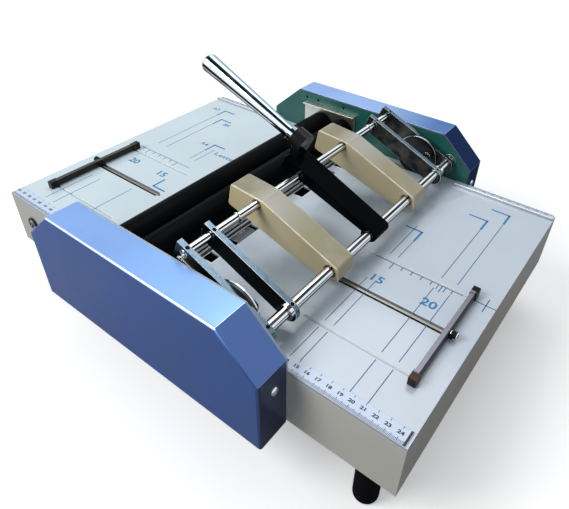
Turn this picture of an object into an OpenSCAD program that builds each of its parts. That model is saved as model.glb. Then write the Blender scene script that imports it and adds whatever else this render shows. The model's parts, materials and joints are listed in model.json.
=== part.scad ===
// Hand-lever booklet maker: saddle stapler and fold rollers on one table.
// X runs with the paper feed, Y across the table to the rear, Z up.
// The origin is on the floor, under the middle of the table.

/* [Body] */
// Length of the body along the feed
body_l = 494; // [480:1:520]
// Width of the body between its outer side faces
body_w = 337; // [334:1:344]
// Height of the body from its underside to the table face
body_h = 64; // [63:1:80]
// Sheet thickness of the body
sheet_t = 1.5; // [1:0.1:2]
// Thickness of the table plates
table_t = 3; // [2.5:0.5:4]
// Width of the body's inward top flanges
flange_w = 11; // [8:1:12]
// Diameter of the ringed screw on the front wall
ring_d = 15; // [12:0.5:18]
// Distance of the ringed screw from the body's left end
ring_end_gap = 33; // [24:1:40]
// Height of the ringed screw above the body's underside
ring_rise = 36; // [20:1:44]

/* [Feet] */
// Height of the feet
foot_h = 58; // [45:1:70]
// Diameter of the feet
foot_d = 23; // [20:1:28]
// Distance of the feet from the body's ends
foot_end_gap = 30; // [20:1:40]
// Distance of the feet from the body's sides
foot_side_gap = 17; // [15:1:25]

/* [Staple line] */
// Place of the staple line along the feed
staple_x = -2.5; // [-6:0.5:2]
// Gap between the staple line and the edge of the right table
table_gap = 2; // [1:0.5:4]
// Depth of the notches in the right table
notch_depth = 12; // [8:1:16]
// Clearance of the notches beside the staplers
notch_side = 5; // [2:0.5:8]
// Width of the ribbed anvil bar
anvil_bar_w = 12.4; // [11:0.2:13]
// Thickness of the anvil bar's ribs
rib_t = 1.2; // [0.8:0.1:2]
// Depth of the wall that stiffens the anvil bar
anvil_wall_h = 13; // [8:0.5:14]
// Drop of the anvil bar's ribs and of the anvils under the table face
anvil_drop = 0.8; // [0.5:0.1:1.2]

/* [Side covers] */
// Depth of the covers outside the side plates
cover_w = 33; // [31:0.5:40]
// Reach of the covers to the left of the staple line
cover_left = 139; // [130:1:150]
// Reach of the covers to the right of the staple line
cover_right = 148.3; // [147:0.1:158]
// Height of the covers above the table
cover_top = 51.7; // [50:0.1:54]
// Clearance of the covers above the body's underside
cover_lift = 1.4; // [0.5:0.1:3]
// Run of the left chamfer of the covers
chamfer_run = 40.7; // [30:0.1:45]
// Drop of the left chamfer of the covers
chamfer_drop = 35.6; // [30:0.1:40]
// Run of the right slope of the covers
slope_run = 38.8; // [30:0.1:42]
// Drop of the right slope of the covers
slope_drop = 35.2; // [25:0.1:40]
// Wall thickness of the covers
cover_t = 1.5; // [1:0.1:2]
// Bend radius along the outer edge of the covers
cover_bend = 3; // [2:0.5:5]
// Thickness of the side plates
plate_t = 2.2; // [1.5:0.1:2.6]
// Step from the covers' outline in to the side plates' edge
plate_inset = 0.6; // [0.2:0.1:1.5]

/* [Swing frame] */
// Distance of the pivot rod from the staple line
pivot_run = 121.2; // [119:0.1:124]
// Height of the pivot rod above the table
pivot_rise = 22; // [21:0.5:24]
// Diameter of the pivot rod
pivot_d = 10.4; // [9:0.1:11]
// Distance of the tie rod from the staple line
tie_run = 39; // [36:0.5:42]
// Height of the tie rod above the table
tie_rise = 57; // [55:0.5:60]
// Diameter of the tie rod
tie_d = 8; // [6:0.1:9]
// Thickness of the flat bars
bar_t = 5.5; // [4:0.1:6]
// Height of the flat bars
bar_h = 19.5; // [18:0.1:21]
// Depth of the rods' centres under the bars' top edges
bar_top = 6.8; // [6.5:0.1:8]
// Length of the bars past the tie rod
bar_tail = 9.5; // [7:0.1:14]
// Gap between the outer bars and the side plates
bar_gap = 3.5; // [3:0.1:5]
// Distance between the middles of an outer and an inner bar
inner_bar_gap = 30.25; // [24:0.25:36]
// Thickness of the straps on the outer bars
strap_t = 1.8; // [1.2:0.1:2.2]
// Diameter of the screws that clamp the rods
grub_d = 4; // [3:0.1:5]
// Diameter of the cam discs
disc_d = 50; // [46:0.5:52]
// Thickness of the cam discs
disc_t = 4; // [3:0.5:5]

/* [Lever] */
// Width of the lever arm
arm_w = 26; // [22:0.5:30]
// Height of the handle's axis above the rods' centre line
handle_rise = 23.75; // [22:0.25:26]
// Diameter of the handle at its free end
handle_d = 19; // [17:0.5:20]
// Diameter of the handle at its root
root_d = 12.5; // [11:0.5:14]
// Free length of the handle
handle_l = 120; // [100:1:130]
// Diameter of the handle socket
socket_d = 24; // [21:0.5:26]
// Length of the handle socket
socket_l = 14; // [12:1:18]

/* [Staplers] */
// Width of the stapler bodies
stapler_w = 26; // [22:0.5:28]
// Distance between the two staplers
stapler_pitch = 140; // [130:1:150]
// Offset of the pair of staplers from the mid plane
stapler_shift = 6.7; // [0:0.1:8]
// Width of the magazines
magazine_w = 11.4; // [9:0.1:13]
// Height of the magazines
magazine_h = 9; // [7:0.5:10]
// Length of the magazines
magazine_l = 80; // [76:1:84]
// Distance of the staple pushers from the staplers' noses
pusher_run = 50; // [20:1:58]
// Length of the staple pushers
pusher_l = 16; // [12:1:20]
// Distance of the staplers' noses from the pivot rod along the bars
nose_run = 118; // [116:0.5:120]

/* [Rollers] */
// Diameter of the fold rollers
roller_d = 31.5; // [30:0.1:31.6]
// Distance between the roller shafts
roller_pitch = 32; // [32:1:32]
// Distance from the staple line to the fold nip
nip_run = 40.5; // [38:0.5:43]
// Height of the roller shafts above the table
roller_rise = 16.5; // [16.2:0.1:17]
// Diameter of the roller journals
journal_d = 10; // [8:0.1:11]
// Thickness of the bearing brackets
bracket_t = 3; // [2:0.5:3.5]
// Height of the bearing brackets
bracket_h = 39; // [36:0.5:42]
// Reach of the brackets to the left of the left roller's shaft
bracket_left = 29.5; // [24:0.5:34]
// Reach of the brackets to the right of the right roller's shaft
bracket_right = 16.5; // [12:0.5:20]
// Width of the lips along the brackets' tops
bracket_lip = 5; // [3:0.5:8]
// Module of the gear teeth
gear_m = 2; // [2:1:2]
// Teeth on each roller gear
roller_teeth = 16; // [16:1:16]
// Width of the roller gears
gear_w = 8; // [6:0.5:8]

/* [Fold knife drive] */
// Thickness of the fold knife
knife_t = 1.5; // [1:0.1:2]
// Gap between the ends of the fold knife and its guide posts
knife_gap = 4; // [2:0.5:8]
// Distance of the lift shaft from the staple line
lift_run = 6.5; // [5.5:0.5:7.5]
// Diameter of the lift shaft
lift_d = 12; // [10:0.5:12.5]
// Length of the lift arms
lift_arm = 35; // [34:0.5:36]
// Length of the cranks in the covers
crank_l = 18; // [16:0.5:19]
// Teeth on a full wheel of the drive sector's size
sector_teeth = 43; // [43:1:43]
// Teeth on the clutch gear
clutch_teeth = 14; // [14:1:14]
// Width of the sector and the clutch gear
sector_w = 7; // [5:0.5:7.5]

/* [Paper stops and rulers] */
// Length of the stop bars
stop_l = 124; // [100:1:126]
// Width of the stop bars
stop_w = 5; // [4:0.5:8]
// Height of the stop bars' tops above the table
stop_h = 8; // [7:0.5:10]
// Length of the stop bars' end blocks
stop_end_l = 10; // [8:0.5:14]
// Distance of the right stop bar from the body's end
right_stop_gap = 22; // [22:1:33]
// Distance of the left stop bar from the body's end
left_stop_gap = 28; // [22:1:33]
// Place of the right stop across the table
right_stop_y = -60.5; // [-66:0.5:-54]
// Place of the left stop across the table
left_stop_y = -75; // [-80:0.5:-66]
// Offset of the right slot from its bar's middle
right_slot_shift = 3; // [0:0.5:8]
// Offset of the left slot from its bar's middle
left_slot_shift = 5.5; // [0:0.5:8]
// Width of the stop slots
slot_w = 8; // [7.5:0.5:9]
// Distance of the slots' inner ends from the middle of the table
slot_inner = 117; // [110:1:120]
// Width of the grooves beside the slots
groove_w = 2.6; // [1.8:0.2:3]
// Diameter of the rails in the stop slots
rail_d = 3.6; // [3:0.1:3.8]
// Diameter of the stops' knobs
knob_d = 6.4; // [5:0.2:8]
// Length of the stops' knobs
knob_l = 6.5; // [5:0.5:8]
// Width of the front ruler strips
ruler_w = 13.5; // [11:0.5:15]
// Thickness of the ruler strips
ruler_t = 0.8; // [0.5:0.1:1.5]
// Distance from the rear side face to the rear fences
fence_gap = 8.8; // [7:0.1:11]
// Height of the rear fences
fence_h = 3.5; // [2:0.5:6]

/* [Hidden] */
$fn = 48;

// Radial clearance of shafts in their bushes
running = 0.05;
// Gap between faces that pass each other
pass_gap = 0.3;

table_z = foot_h + body_h;
half_w = body_w / 2;
half_l = body_l / 2;
deck_z = table_z - table_t;
floor_z = foot_h + sheet_t;
plate_y = half_w + plate_t;
cover_y = plate_y + cover_w;

px = staple_x + pivot_run;
pz = table_z + pivot_rise;
tx = staple_x + tie_run;
tz = table_z + tie_rise;
frame_len = norm([px - tx, tz - pz]);
frame_ang = atan2(tz - pz, px - tx);
outer_bar_y = half_w - bar_gap - bar_t / 2;
inner_bar_y = outer_bar_y - inner_bar_gap;

nip_x = staple_x - nip_run;
roller_z = table_z + roller_rise;
left_roller_x = nip_x - roller_pitch / 2;
right_roller_x = nip_x + roller_pitch / 2;

// The lift shaft keeps the sector in mesh with the clutch gear
mesh_d = gear_m * (sector_teeth + clutch_teeth) / 2;
lift_x = staple_x + lift_run;
lift_z = roller_z - sqrt(mesh_d * mesh_d - pow(lift_x - right_roller_x, 2));
mesh_ang = atan2(roller_z - lift_z, right_roller_x - lift_x);

// Swing of the frame: lift for folding, press for stapling
swing_up = 45;
swing_down = 19.5;
swing_mid = (swing_up - swing_down) / 2;
lift_low_ang = 180 + swing_mid;
crank_ang = atan2(lift_z - pz, lift_x - px) + 90 + swing_mid;
crank_px = px + crank_l * cos(crank_ang);
crank_pz = pz + crank_l * sin(crank_ang);
crank_lx = lift_x + crank_l * cos(crank_ang);
crank_lz = lift_z + crank_l * sin(crank_ang);

// Layers inside the covers, from the side plate outward
gear_y = plate_y + 0.8;
sector_y = gear_y + gear_w + 1;
crank_y = sector_y + sector_w + 1;
crank_t = 5;
link_t = 4;
link_y = crank_y + crank_t + 0.5;
link_end_y = link_y + link_t;

// Fold knife: the tip stops just under the nip when the frame is up
lift_reach = lift_arm * (sin(swing_up - swing_mid) + sin(swing_mid));
lift_pin_z = lift_z - lift_arm * sin(swing_mid);
lift_pin_x = lift_x - lift_arm * cos(swing_mid);
lift_pin_r = 3;
tip_stop = 4.7;
tip_z = roller_z - tip_stop - lift_reach;
carrier_w = 12;
carrier_h = 14;
carrier_z = lift_pin_z - carrier_h / 2;
guide_r = 4;
guide_wall = 2.5;
guide_y = half_w - sheet_t - guide_wall - guide_r - 2.5;
knife_l = 2 * (guide_y - guide_r - knife_gap);
lift_arm_y = 100;
lift_arm_t = 6;

left_edge_x = nip_x - 3;
right_edge_x = staple_x + table_gap;
anvil_x = right_edge_x - 0.6 - anvil_bar_w;
stop_mid_z = table_z + 1.4 + stop_h / 2;
rail_z = table_z - rail_d / 2 + 0.5;
front_stapler_y = stapler_shift - stapler_pitch / 2;
rear_stapler_y = stapler_shift + stapler_pitch / 2;

module mirror_y() {
    children();
    mirror([0, 1, 0]) children();
}

// A flat shape in X and Z, drawn out along Y
module along_y(y0, y1) {
    translate([0, y1, 0]) rotate([90, 0, 0]) linear_extrude(y1 - y0) children();
}

module rod_y(x, z, r, y0, y1) {
    translate([x, y1, z]) rotate([90, 0, 0]) cylinder(r = r, h = y1 - y0);
}

module tube_y(x, z, r, bore_r, y0, y1) {
    difference() {
        rod_y(x, z, r, y0, y1);
        rod_y(x, z, bore_r, y0 - 1, y1 + 1);
    }
}

module span(x0, x1, y0, y1, z0, z1) {
    translate([x0, y0, z0]) cube([x1 - x0, y1 - y0, z1 - z0]);
}

// Swing frame's own axes: origin on the pivot rod, X down the bars, Z square to them
module in_frame() {
    translate([px, 0, pz]) rotate([0, frame_ang, 0]) children();
}

// Slab across Y with rounded corners and soft edges, through [x, z, radius] corners
module soft_slab(corners, w, edge_r) {
    hull() for (turn = [0 : 45 : 90]) {
        rotate([90, 0, 0]) linear_extrude(w - 2 * edge_r * (1 - sin(turn)), center = true)
            for (c = corners)
                translate([c[0], c[1]]) circle(r = c[2] - edge_r + edge_r * cos(turn), $fn = 28);
    }
}

// Polar involute function, in degrees
function inv(a) = tan(a) * 180 / PI - a;
function pressure_at(r, base_r) = r <= base_r ? 0 : acos(base_r / r);
function tooth_half(r, teeth, pitch_r) =
    let (base_r = pitch_r * cos(20), slack = 0.12 / pitch_r * 180 / PI)
    90 / teeth - slack + inv(20) - inv(pressure_at(r, base_r));
function tooth_radii(pitch_r) = [
    pitch_r - 1.25 * gear_m, pitch_r - 0.5 * gear_m, pitch_r, pitch_r + 0.5 * gear_m, pitch_r + gear_m
];
function polar(r, a) = [r * cos(a), r * sin(a)];

module gear_shape(teeth) {
    pitch_r = gear_m * teeth / 2;
    radii = tooth_radii(pitch_r);
    last = len(radii) - 1;
    polygon([
        for (k = [0 : teeth - 1], side = [-1, 1], i = [0 : last])
            let (r = radii[side < 0 ? i : last - i])
            polar(r, k * 360 / teeth + side * tooth_half(r, teeth, pitch_r))
    ]);
}

module gear_y_at(x, z, teeth, phase, bore_r, y0, y1) {
    difference() {
        translate([x, 0, z]) along_y(y0, y1) rotate(phase) gear_shape(teeth);
        rod_y(x, z, bore_r, y0 - 1, y1 + 1);
    }
}

// Outline of the side covers, drawn in by d all round
function cover_outline(d) = [
    [staple_x - cover_left + d, foot_h + cover_lift + d],
    [staple_x + cover_right - d, foot_h + cover_lift + d],
    [staple_x + cover_right - d, table_z + cover_top - slope_drop - 0.4 * d],
    [staple_x + cover_right - slope_run - 0.4 * d, table_z + cover_top - d],
    [staple_x - cover_left + chamfer_run + 0.4 * d, table_z + cover_top - d],
    [staple_x - cover_left + d, table_z + cover_top - chamfer_drop - 0.4 * d]
];

// Slots that let the cam discs dip below the table
module disc_slots() {
    mirror_y() span(disc_x() - disc_d / 2 - 3, disc_x() + disc_d / 2 + 4,
        disc_in_y() - 1.5, disc_in_y() + disc_t + 1.5, deck_z - sheet_t - 1, table_z + 1);
}

module housing() {
    color("darkgray") difference() {
        span(-half_l, half_l, -half_w, half_w, foot_h, deck_z);
        span(-half_l + sheet_t, half_l - sheet_t, -half_w + sheet_t, half_w - sheet_t,
            foot_h - 1, deck_z - sheet_t);
        span(-half_l + flange_w, half_l - flange_w, -half_w + flange_w, half_w - flange_w,
            foot_h - 1, deck_z + 1);
        rod_y(lift_x, lift_z, lift_d / 2 + 2.5, -half_w - 1, half_w + 1);
        disc_slots();
    }
}

module bottom_plate() {
    end_x = half_l - sheet_t;
    side_y = half_w - sheet_t;
    color("dimgray") difference() {
        span(-end_x, end_x, -side_y, side_y, foot_h, floor_z);
        foot_places() translate([0, 0, foot_h - 1]) cylinder(r = 3, h = sheet_t + 2);
    }
}

module foot_places() {
    for (sx = [-1, 1], sy = [-1, 1])
        translate([sx * (half_l - foot_end_gap), sy * (half_w - foot_side_gap), 0]) children();
}

module foot_shape() {
    r = foot_d / 2;
    round_r = 4;
    polygon(concat(
        [[3, 30], [6, 30], [6, 0]],
        [for (a = [-90 : 15 : 0]) [r - round_r + round_r * cos(a), round_r + round_r * sin(a)]],
        [[r, foot_h - 6], [r - 1.5, foot_h - 4], [r - 1.5, foot_h], [3, foot_h]]
    ));
}

module feet() {
    color("black") foot_places() rotate_extrude() foot_shape();
}

module foot_screws() {
    color("silver") foot_places() {
        translate([0, 0, 26]) cylinder(r = 5.5, h = 4);
        translate([0, 0, 30]) cylinder(r = 3, h = floor_z - 30);
        translate([0, 0, floor_z]) cylinder(r = 5, h = 4, $fn = 6);
    }
}

module table_edge_cut(x0, x1) {
    mirror_y() translate([0, half_w, table_z]) rotate([0, 90, 0])
        translate([0, 0, x0 - 1]) linear_extrude(x1 - x0 + 2)
            difference() {
                translate([-1, -0.8]) square([1.8, 1.8]);
                translate([0.8, -0.8]) circle(r = 0.8);
            }
}

// Places of the stops; side is 1 on the right and -1 on the left
function stop_x(side) = half_l - (side > 0 ? right_stop_gap : left_stop_gap);
function stop_y(side) = side > 0 ? right_stop_y : left_stop_y;
function slot_y(side) = stop_y(side) + (side > 0 ? right_slot_shift : left_slot_shift);
function slot_outer(side) = stop_x(side) + slot_w / 2 + 1;
function groove_reach() = stop_l / 2 - 0.8 * stop_end_l;

// Slot, rail seats and two shallow grooves for the feet of a stop, drawn for the right side
module stop_cuts(side) {
    x1 = slot_outer(side);
    mirror([side > 0 ? 0 : 1, 0, 0]) {
        span(slot_inner, x1, slot_y(side) - slot_w / 2, slot_y(side) + slot_w / 2, deck_z - 1, table_z + 1);
        span(slot_inner - rail_seat, x1 + rail_seat, slot_y(side) - rail_d / 2, slot_y(side) + rail_d / 2,
            deck_z - 1, table_z + 1);
        for (y = [stop_y(side) - groove_reach(), stop_y(side) + groove_reach()])
            span(slot_inner + 3, x1 - 2, y - groove_w / 2, y + groove_w / 2, table_z - 0.9, table_z + 1);
    }
}

module left_table() {
    color("lightsteelblue") difference() {
        span(-half_l, left_edge_x, -half_w, half_w, deck_z, table_z);
        table_edge_cut(-half_l, left_edge_x);
        stop_cuts(-1);
    }
}

module right_table() {
    color("lightsteelblue") difference() {
        span(right_edge_x, half_l, -half_w, half_w, deck_z, table_z);
        table_edge_cut(right_edge_x, half_l);
        stop_cuts(1);
        for (n = notches())
            span(right_edge_x - 1, right_edge_x + notch_depth, n[0] - n[1] / 2, n[0] + n[1] / 2,
                deck_z - 1, table_z + 1);
        disc_slots();
    }
}

// Notches as [middle, width]: one under each stapler, and three for the paper guides
function notches() = [
    [front_stapler_y, stapler_w + 2 * notch_side], [rear_stapler_y, stapler_w + 2 * notch_side],
    [-109, 12], [36.7, 20], [112, 10]
];

module guide_plate() {
    color("dimgray") span(nip_x + 3, anvil_x, -half_w + sheet_t + 0.3, half_w - sheet_t - 0.3,
        deck_z, table_z - 0.4);
}

// Bar under the staple line: three ribs on a web, stiffened by a wall along its right side
module anvil_bar() {
    reach = half_w - sheet_t - 0.3;
    inner = half_w - flange_w - 0.5;
    x1 = anvil_x + anvil_bar_w;
    rib_top = table_z - anvil_drop;
    color("silver") union() {
        span(anvil_x, x1, -reach, reach, deck_z, deck_z + 1);
        for (x = [anvil_x, x1 - 0.6 * anvil_bar_w, x1 - rib_t])
            span(x, x + rib_t, -reach, reach, deck_z, rib_top);
        span(x1 - 4, x1, -inner, inner, deck_z - anvil_wall_h, deck_z);
    }
}

module anvils() {
    x0 = anvil_x + anvil_bar_w;
    top = table_z - anvil_drop;
    color("gainsboro") for (y = [front_stapler_y, rear_stapler_y]) difference() {
        span(x0, x0 + notch_depth - 1, y - stapler_w / 2, y + stapler_w / 2, top - 4.2, top);
        for (k = [-1, 1]) translate([x0 + 3, y + k * 3, top])
            rotate([90, 0, 0]) cylinder(r = 0.9, h = 4, center = true);
    }
}

module cover() {
    color("cornflowerblue") difference() {
        hull() for (turn = [0 : 30 : 90])
            along_y(plate_y, cover_y - cover_bend * (1 - sin(turn)))
                polygon(cover_outline(cover_bend * (1 - cos(turn))));
        along_y(plate_y - 1, cover_y - cover_t) polygon(cover_outline(cover_t));
        for (side = [-1, 1]) panel_screw_at(side) cylinder(r = 1.6, h = 12, center = true);
    }
}

module rear_cover() {
    cover();
}

module front_cover() {
    mirror([0, 1, 0]) cover();
}

// Places of the covers' end screws; side is 1 on the right end and -1 on the left
module panel_screw_at(side) {
    x = side > 0 ? staple_x + cover_right : staple_x - cover_left;
    translate([x, plate_y + 14, table_z - 6]) rotate([0, side * 90, 0]) children();
}

module side_plate() {
    lift_hole = lift_d / 2 + 2.5;
    color("teal") difference() {
        along_y(half_w, plate_y) polygon(cover_outline(plate_inset));
        rod_y(px, pz, pivot_d / 2 + 3, half_w - 1, plate_y + 1);
        rod_y(lift_x, lift_z, lift_hole, half_w - 1, plate_y + 1);
        for (x = [left_roller_x, right_roller_x])
            rod_y(x, roller_z, journal_d / 2 + 2.5, half_w - 1, plate_y + 1);
        for (x = [-87.5, -69.5, -30])
            rod_y(x, table_z + 44.5, 1.6, half_w - 1, plate_y + 1);
    }
}

module rear_side_plate() {
    side_plate();
}

module front_side_plate() {
    mirror([0, 1, 0]) side_plate();
}

module roller_brackets() {
    x0 = left_roller_x - bracket_left;
    x1 = right_roller_x + bracket_right;
    y0 = half_w - bracket_t;
    color("wheat") mirror_y() difference() {
        union() {
            span(x0, x1, y0, half_w, table_z, table_z + bracket_h);
            span(x0, x1, y0 - bracket_lip, y0, table_z + bracket_h - 2, table_z + bracket_h);
        }
        for (x = [left_roller_x, right_roller_x])
            rod_y(x, roller_z, journal_d / 2 + 2.5, y0 - 1, half_w + 1);
    }
}

module bush(x, z, shaft_r, wall, y0, y1, head_y0, head_y1) {
    difference() {
        union() {
            rod_y(x, z, shaft_r + wall, y0, y1);
            rod_y(x, z, shaft_r + wall + 2, head_y0, head_y1);
        }
        rod_y(x, z, shaft_r + running, min(y0, head_y0) - 1, max(y1, head_y1) + 1);
    }
}

module shaft_bushes() {
    bracket_y = half_w - bracket_t;
    color("darkgoldenrod") mirror_y() {
        for (x = [left_roller_x, right_roller_x])
            bush(x, roller_z, journal_d / 2, 2.5, bracket_y - 1.2, plate_y, bracket_y - 1.2, bracket_y);
        bush(px, pz, pivot_d / 2, 3, half_w, plate_y + 2, plate_y, plate_y + 2);
        bush(lift_x, lift_z, lift_d / 2, 2.5, half_w - sheet_t, plate_y + 1.5, plate_y, plate_y + 1.5);
    }
}

module rulers() {
    left_x = staple_x - cover_left + 4;
    right_x = staple_x + cover_right - 12;
    color("white") {
        for (s = [[-half_l + 2, left_x], [right_x, half_l - 2]]) {
            span(s[0], s[1], -half_w + 0.3, -half_w + 0.3 + ruler_w, table_z, table_z + ruler_t);
            span(s[0], s[1], half_w - fence_gap, half_w - 0.3, table_z, table_z + ruler_t);
        }
    }
}

module rear_fences() {
    left_x = staple_x - cover_left + 4;
    right_x = staple_x + cover_right - 12;
    color("gainsboro") for (s = [[-half_l + 1, left_x], [right_x, half_l - 1]])
        span(s[0], s[1], half_w - fence_gap - 3, half_w - fence_gap, table_z, table_z + fence_h);
}

module pan_screw(head_r, shank_r, shank_l) {
    rotate_extrude() polygon(concat(
        [[0, -shank_l], [shank_r, -shank_l], [shank_r, 0], [head_r, 0]],
        [for (a = [0 : 18 : 90]) [head_r * cos(a), 0.5 * head_r * sin(a)]]
    ));
}

module panel_screws() {
    color("silver") mirror_y() for (side = [-1, 1]) panel_screw_at(side) pan_screw(4, 1.6, cover_t + 2);
}

// Ringed screw on the front wall, near the left end
module wall_ring() {
    ring_r = ring_d / 2;
    screw_r = 0.45 * ring_r;
    color("black") translate([-half_l + ring_end_gap, -half_w, foot_h + ring_rise]) rotate([90, 0, 0])
        difference() {
            union() {
                cylinder(r = ring_r, h = 2.5);
                cylinder(r = screw_r, h = 4);
            }
            translate([0, 0, 1.2]) difference() {
                cylinder(r = ring_r - 1.5, h = 4);
                translate([0, 0, -1]) cylinder(r = screw_r, h = 6);
            }
            translate([-screw_r, -0.6, 3]) cube([2 * screw_r, 1.2, 2]);
        }
}

module knife_guides() {
    color("silver") mirror_y() translate([nip_x, guide_y, floor_z]) {
        cylinder(r = guide_r, h = deck_z - floor_z - sheet_t - 0.6);
        cylinder(r = guide_r + 2, h = 2);
    }
}

module pivot_rod() {
    color("silver") rod_y(px, pz, pivot_d / 2, -crank_y - crank_t, crank_y + crank_t);
}

module tie_rod() {
    reach = outer_bar_y + bar_t / 2;
    color("silver") rod_y(tx, tz, tie_d / 2, -reach, reach);
}

module bar_shape() {
    mid = bar_top - bar_h / 2;
    difference() {
        union() {
            translate([-frame_len - bar_tail, mid - bar_h / 2]) square([frame_len + bar_tail, bar_h]);
            translate([0, mid]) circle(r = bar_h / 2);
        }
        circle(r = pivot_d / 2);
        translate([-frame_len, 0]) circle(r = tie_d / 2);
    }
}

module bar_at(y) {
    in_frame() difference() {
        along_y(y - bar_t / 2, y + bar_t / 2) bar_shape();
        for (u = [0, -frame_len]) translate([u, y, 2]) cylinder(r = grub_d / 2, h = bar_top);
        children();
    }
}

module outer_bar_at(side) {
    bar_at(side * outer_bar_y) {
        strap_places() rod_y(0, 0, 2, -half_w, half_w);
        disc_bolt_place() rod_y(0, 0, 3, -half_w, half_w);
    }
}

module outer_bars() {
    color("lightgray") for (side = [-1, 1]) outer_bar_at(side);
}

module inner_bars() {
    color("lightgray") for (side = [-1, 1]) bar_at(side * inner_bar_y);
}

// Cam disc: its middle hangs under the bar, and one bolt in the bar carries it
disc_u = -32.3;
disc_v = -14.4;
bolt_u = -22;
bolt_v = -3;
function disc_x() = px + disc_u * cos(frame_ang) + disc_v * sin(frame_ang);
function disc_in_y() = outer_bar_y - bar_t / 2 - disc_t;

module disc_bolt_place() {
    translate([bolt_u, 0, bolt_v]) children();
}

module cam_discs() {
    y1 = outer_bar_y - bar_t / 2;
    y0 = y1 - disc_t;
    color("dimgray") mirror_y() in_frame() difference() {
        rod_y(disc_u, disc_v, disc_d / 2, y0, y1);
        difference() {
            rod_y(disc_u, disc_v, disc_d / 2 - 3, y0 - 1, y0 + 1);
            rod_y(bolt_u, bolt_v, 7, y0 - 2, y1);
        }
        disc_bolt_place() rod_y(0, 0, 3, y0 - 1, y1 + 1);
    }
}

module disc_bolts() {
    y1 = outer_bar_y + bar_t / 2;
    y0 = outer_bar_y - bar_t / 2 - disc_t;
    color("black") mirror_y() in_frame() disc_bolt_place() difference() {
        union() {
            rod_y(0, 0, 3, y0, y1);
            rod_y(0, 0, 5, y0 - 5, y0);
            rod_y(0, 0, 4.6, y1, y1 + 1.8);
        }
        translate([0, y0 - 2, 0]) rotate([90, 0, 0]) cylinder(r = 2.5, h = 4, $fn = 6);
    }
}

module set_screws() {
    color("black") in_frame() {
        for (y = [-outer_bar_y, -inner_bar_y, inner_bar_y, outer_bar_y]) {
            translate([0, y, pivot_d / 2]) grub(bar_top - pivot_d / 2);
            translate([-frame_len, y, tie_d / 2]) grub(bar_top - tie_d / 2);
        }
        translate([socket_u() + socket_l / 2, 0, handle_rise]) rotate([90, 0, 0])
            translate([0, 0, root_d / 2 - 1]) grub(socket_d / 2 - root_d / 2 + 1);
    }
}

module grub(h) {
    difference() {
        cylinder(r = grub_d / 2, h = h - 0.2);
        translate([0, 0, h - 1]) cylinder(r = grub_d / 4, h = 2, $fn = 6);
    }
}

// Rings on the tie rod outside the staplers, and collars on the pivot rod
tie_ring_gap = 26;
module rod_rings() {
    collar_y = inner_bar_y + bar_t / 2;
    reach = stapler_w / 2 + tie_ring_gap;
    color("silver") {
        for (y = [front_stapler_y - reach, rear_stapler_y + reach])
            tube_y(tx, tz, tie_d / 2 + 1, tie_d / 2, y - 0.8, y + 0.8);
        mirror_y() tube_y(px, pz, pivot_d / 2 + 2.4, pivot_d / 2, collar_y, collar_y + 4);
    }
}

// Strap along the outer bar, from an eye under the tie rod
strap_v = -8.2;
strap_end_u = -44;
module strap_places() {
    for (u = [-frame_len, strap_end_u]) translate([u, 0, strap_v]) children();
}

module bar_straps() {
    y0 = outer_bar_y + bar_t / 2;
    color("tan") mirror_y() in_frame() difference() {
        union() {
            strap_places() rod_y(0, 0, 4.4, y0, y0 + strap_t);
            span(-frame_len, strap_end_u, y0, y0 + strap_t, strap_v - 3.6, strap_v + 3.6);
        }
        strap_places() rod_y(0, 0, 2, y0 - 1, y0 + strap_t + 1);
    }
}

module strap_bolts() {
    y0 = outer_bar_y - bar_t / 2 + 1;
    y1 = outer_bar_y + bar_t / 2 + strap_t;
    color("silver") mirror_y() in_frame() strap_places() {
        rod_y(0, 0, 2, y0, y1);
        rod_y(0, 0, 4, y1, y1 + 1);
    }
}

// Lever arm: a bar over the tie rod that thins toward a hub on the pivot rod
arm_top = 8.8;
arm_tail_u = -frame_len - 22.5;
module lever_arm() {
    r = 2.5;
    tail = arm_tail_u + r;
    hub_r = pivot_d / 2 + 2.2;
    color("black") in_frame() difference() {
        union() {
            soft_slab([
                [tail, arm_top - r, r], [tail, -4.3, r], [-9, 1.6, r], [1, hub_r - 0.3 - r, r],
                [-frame_len - 8, arm_top - r, r]
            ], arm_w, 1);
            soft_slab([[-0.6, -0.3, hub_r], [2.5, 1.2, hub_r - 1.5]], arm_w, 1);
        }
        rod_y(0, 0, pivot_d / 2, -arm_w, arm_w);
        rod_y(-frame_len, 0, tie_d / 2, -arm_w, arm_w);
    }
}

function socket_u() = arm_tail_u - 4.5;

// Along the handle, outward from the socket
module along_handle(u) {
    in_frame() translate([u, 0, handle_rise]) rotate([0, -90, 0]) children();
}

module handle_socket() {
    color("black") difference() {
        union() {
            along_handle(socket_u() + socket_l) cylinder(r = socket_d / 2, h = socket_l);
            in_frame() span(arm_tail_u + 0.5, socket_u() + socket_l, -8, 8, arm_top, handle_rise - 5);
        }
        along_handle(socket_u() + socket_l - 3) cylinder(r = root_d / 2 - 1, h = socket_l);
        in_frame() translate([socket_u() + socket_l / 2, 0, handle_rise]) rotate([90, 0, 0])
            cylinder(r = grub_d / 2, h = socket_d);
    }
}

nut_t = 6;
module handle_nut() {
    color("silver") along_handle(socket_u()) difference() {
        cylinder(r = root_d / 2 + 3, h = nut_t, $fn = 6);
        translate([0, 0, -1]) cylinder(r = root_d / 2 - 1, h = nut_t + 2);
    }
}

module handle() {
    r0 = root_d / 2;
    r1 = handle_d / 2;
    dome = 6;
    color("silver") along_handle(socket_u() + socket_l - 3) rotate_extrude() polygon(concat(
        [[0, 0], [r0 - 1, 0], [r0 - 1, socket_l - 3 + nut_t], [r0, socket_l - 3 + nut_t]],
        [[r0, socket_l + nut_t + 3], [r1, socket_l - 3 + nut_t + handle_l - dome]],
        [for (a = [15 : 15 : 90]) [r1 * cos(a), socket_l - 3 + nut_t + handle_l - dome + dome * sin(a)]]
    ));
}

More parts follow.
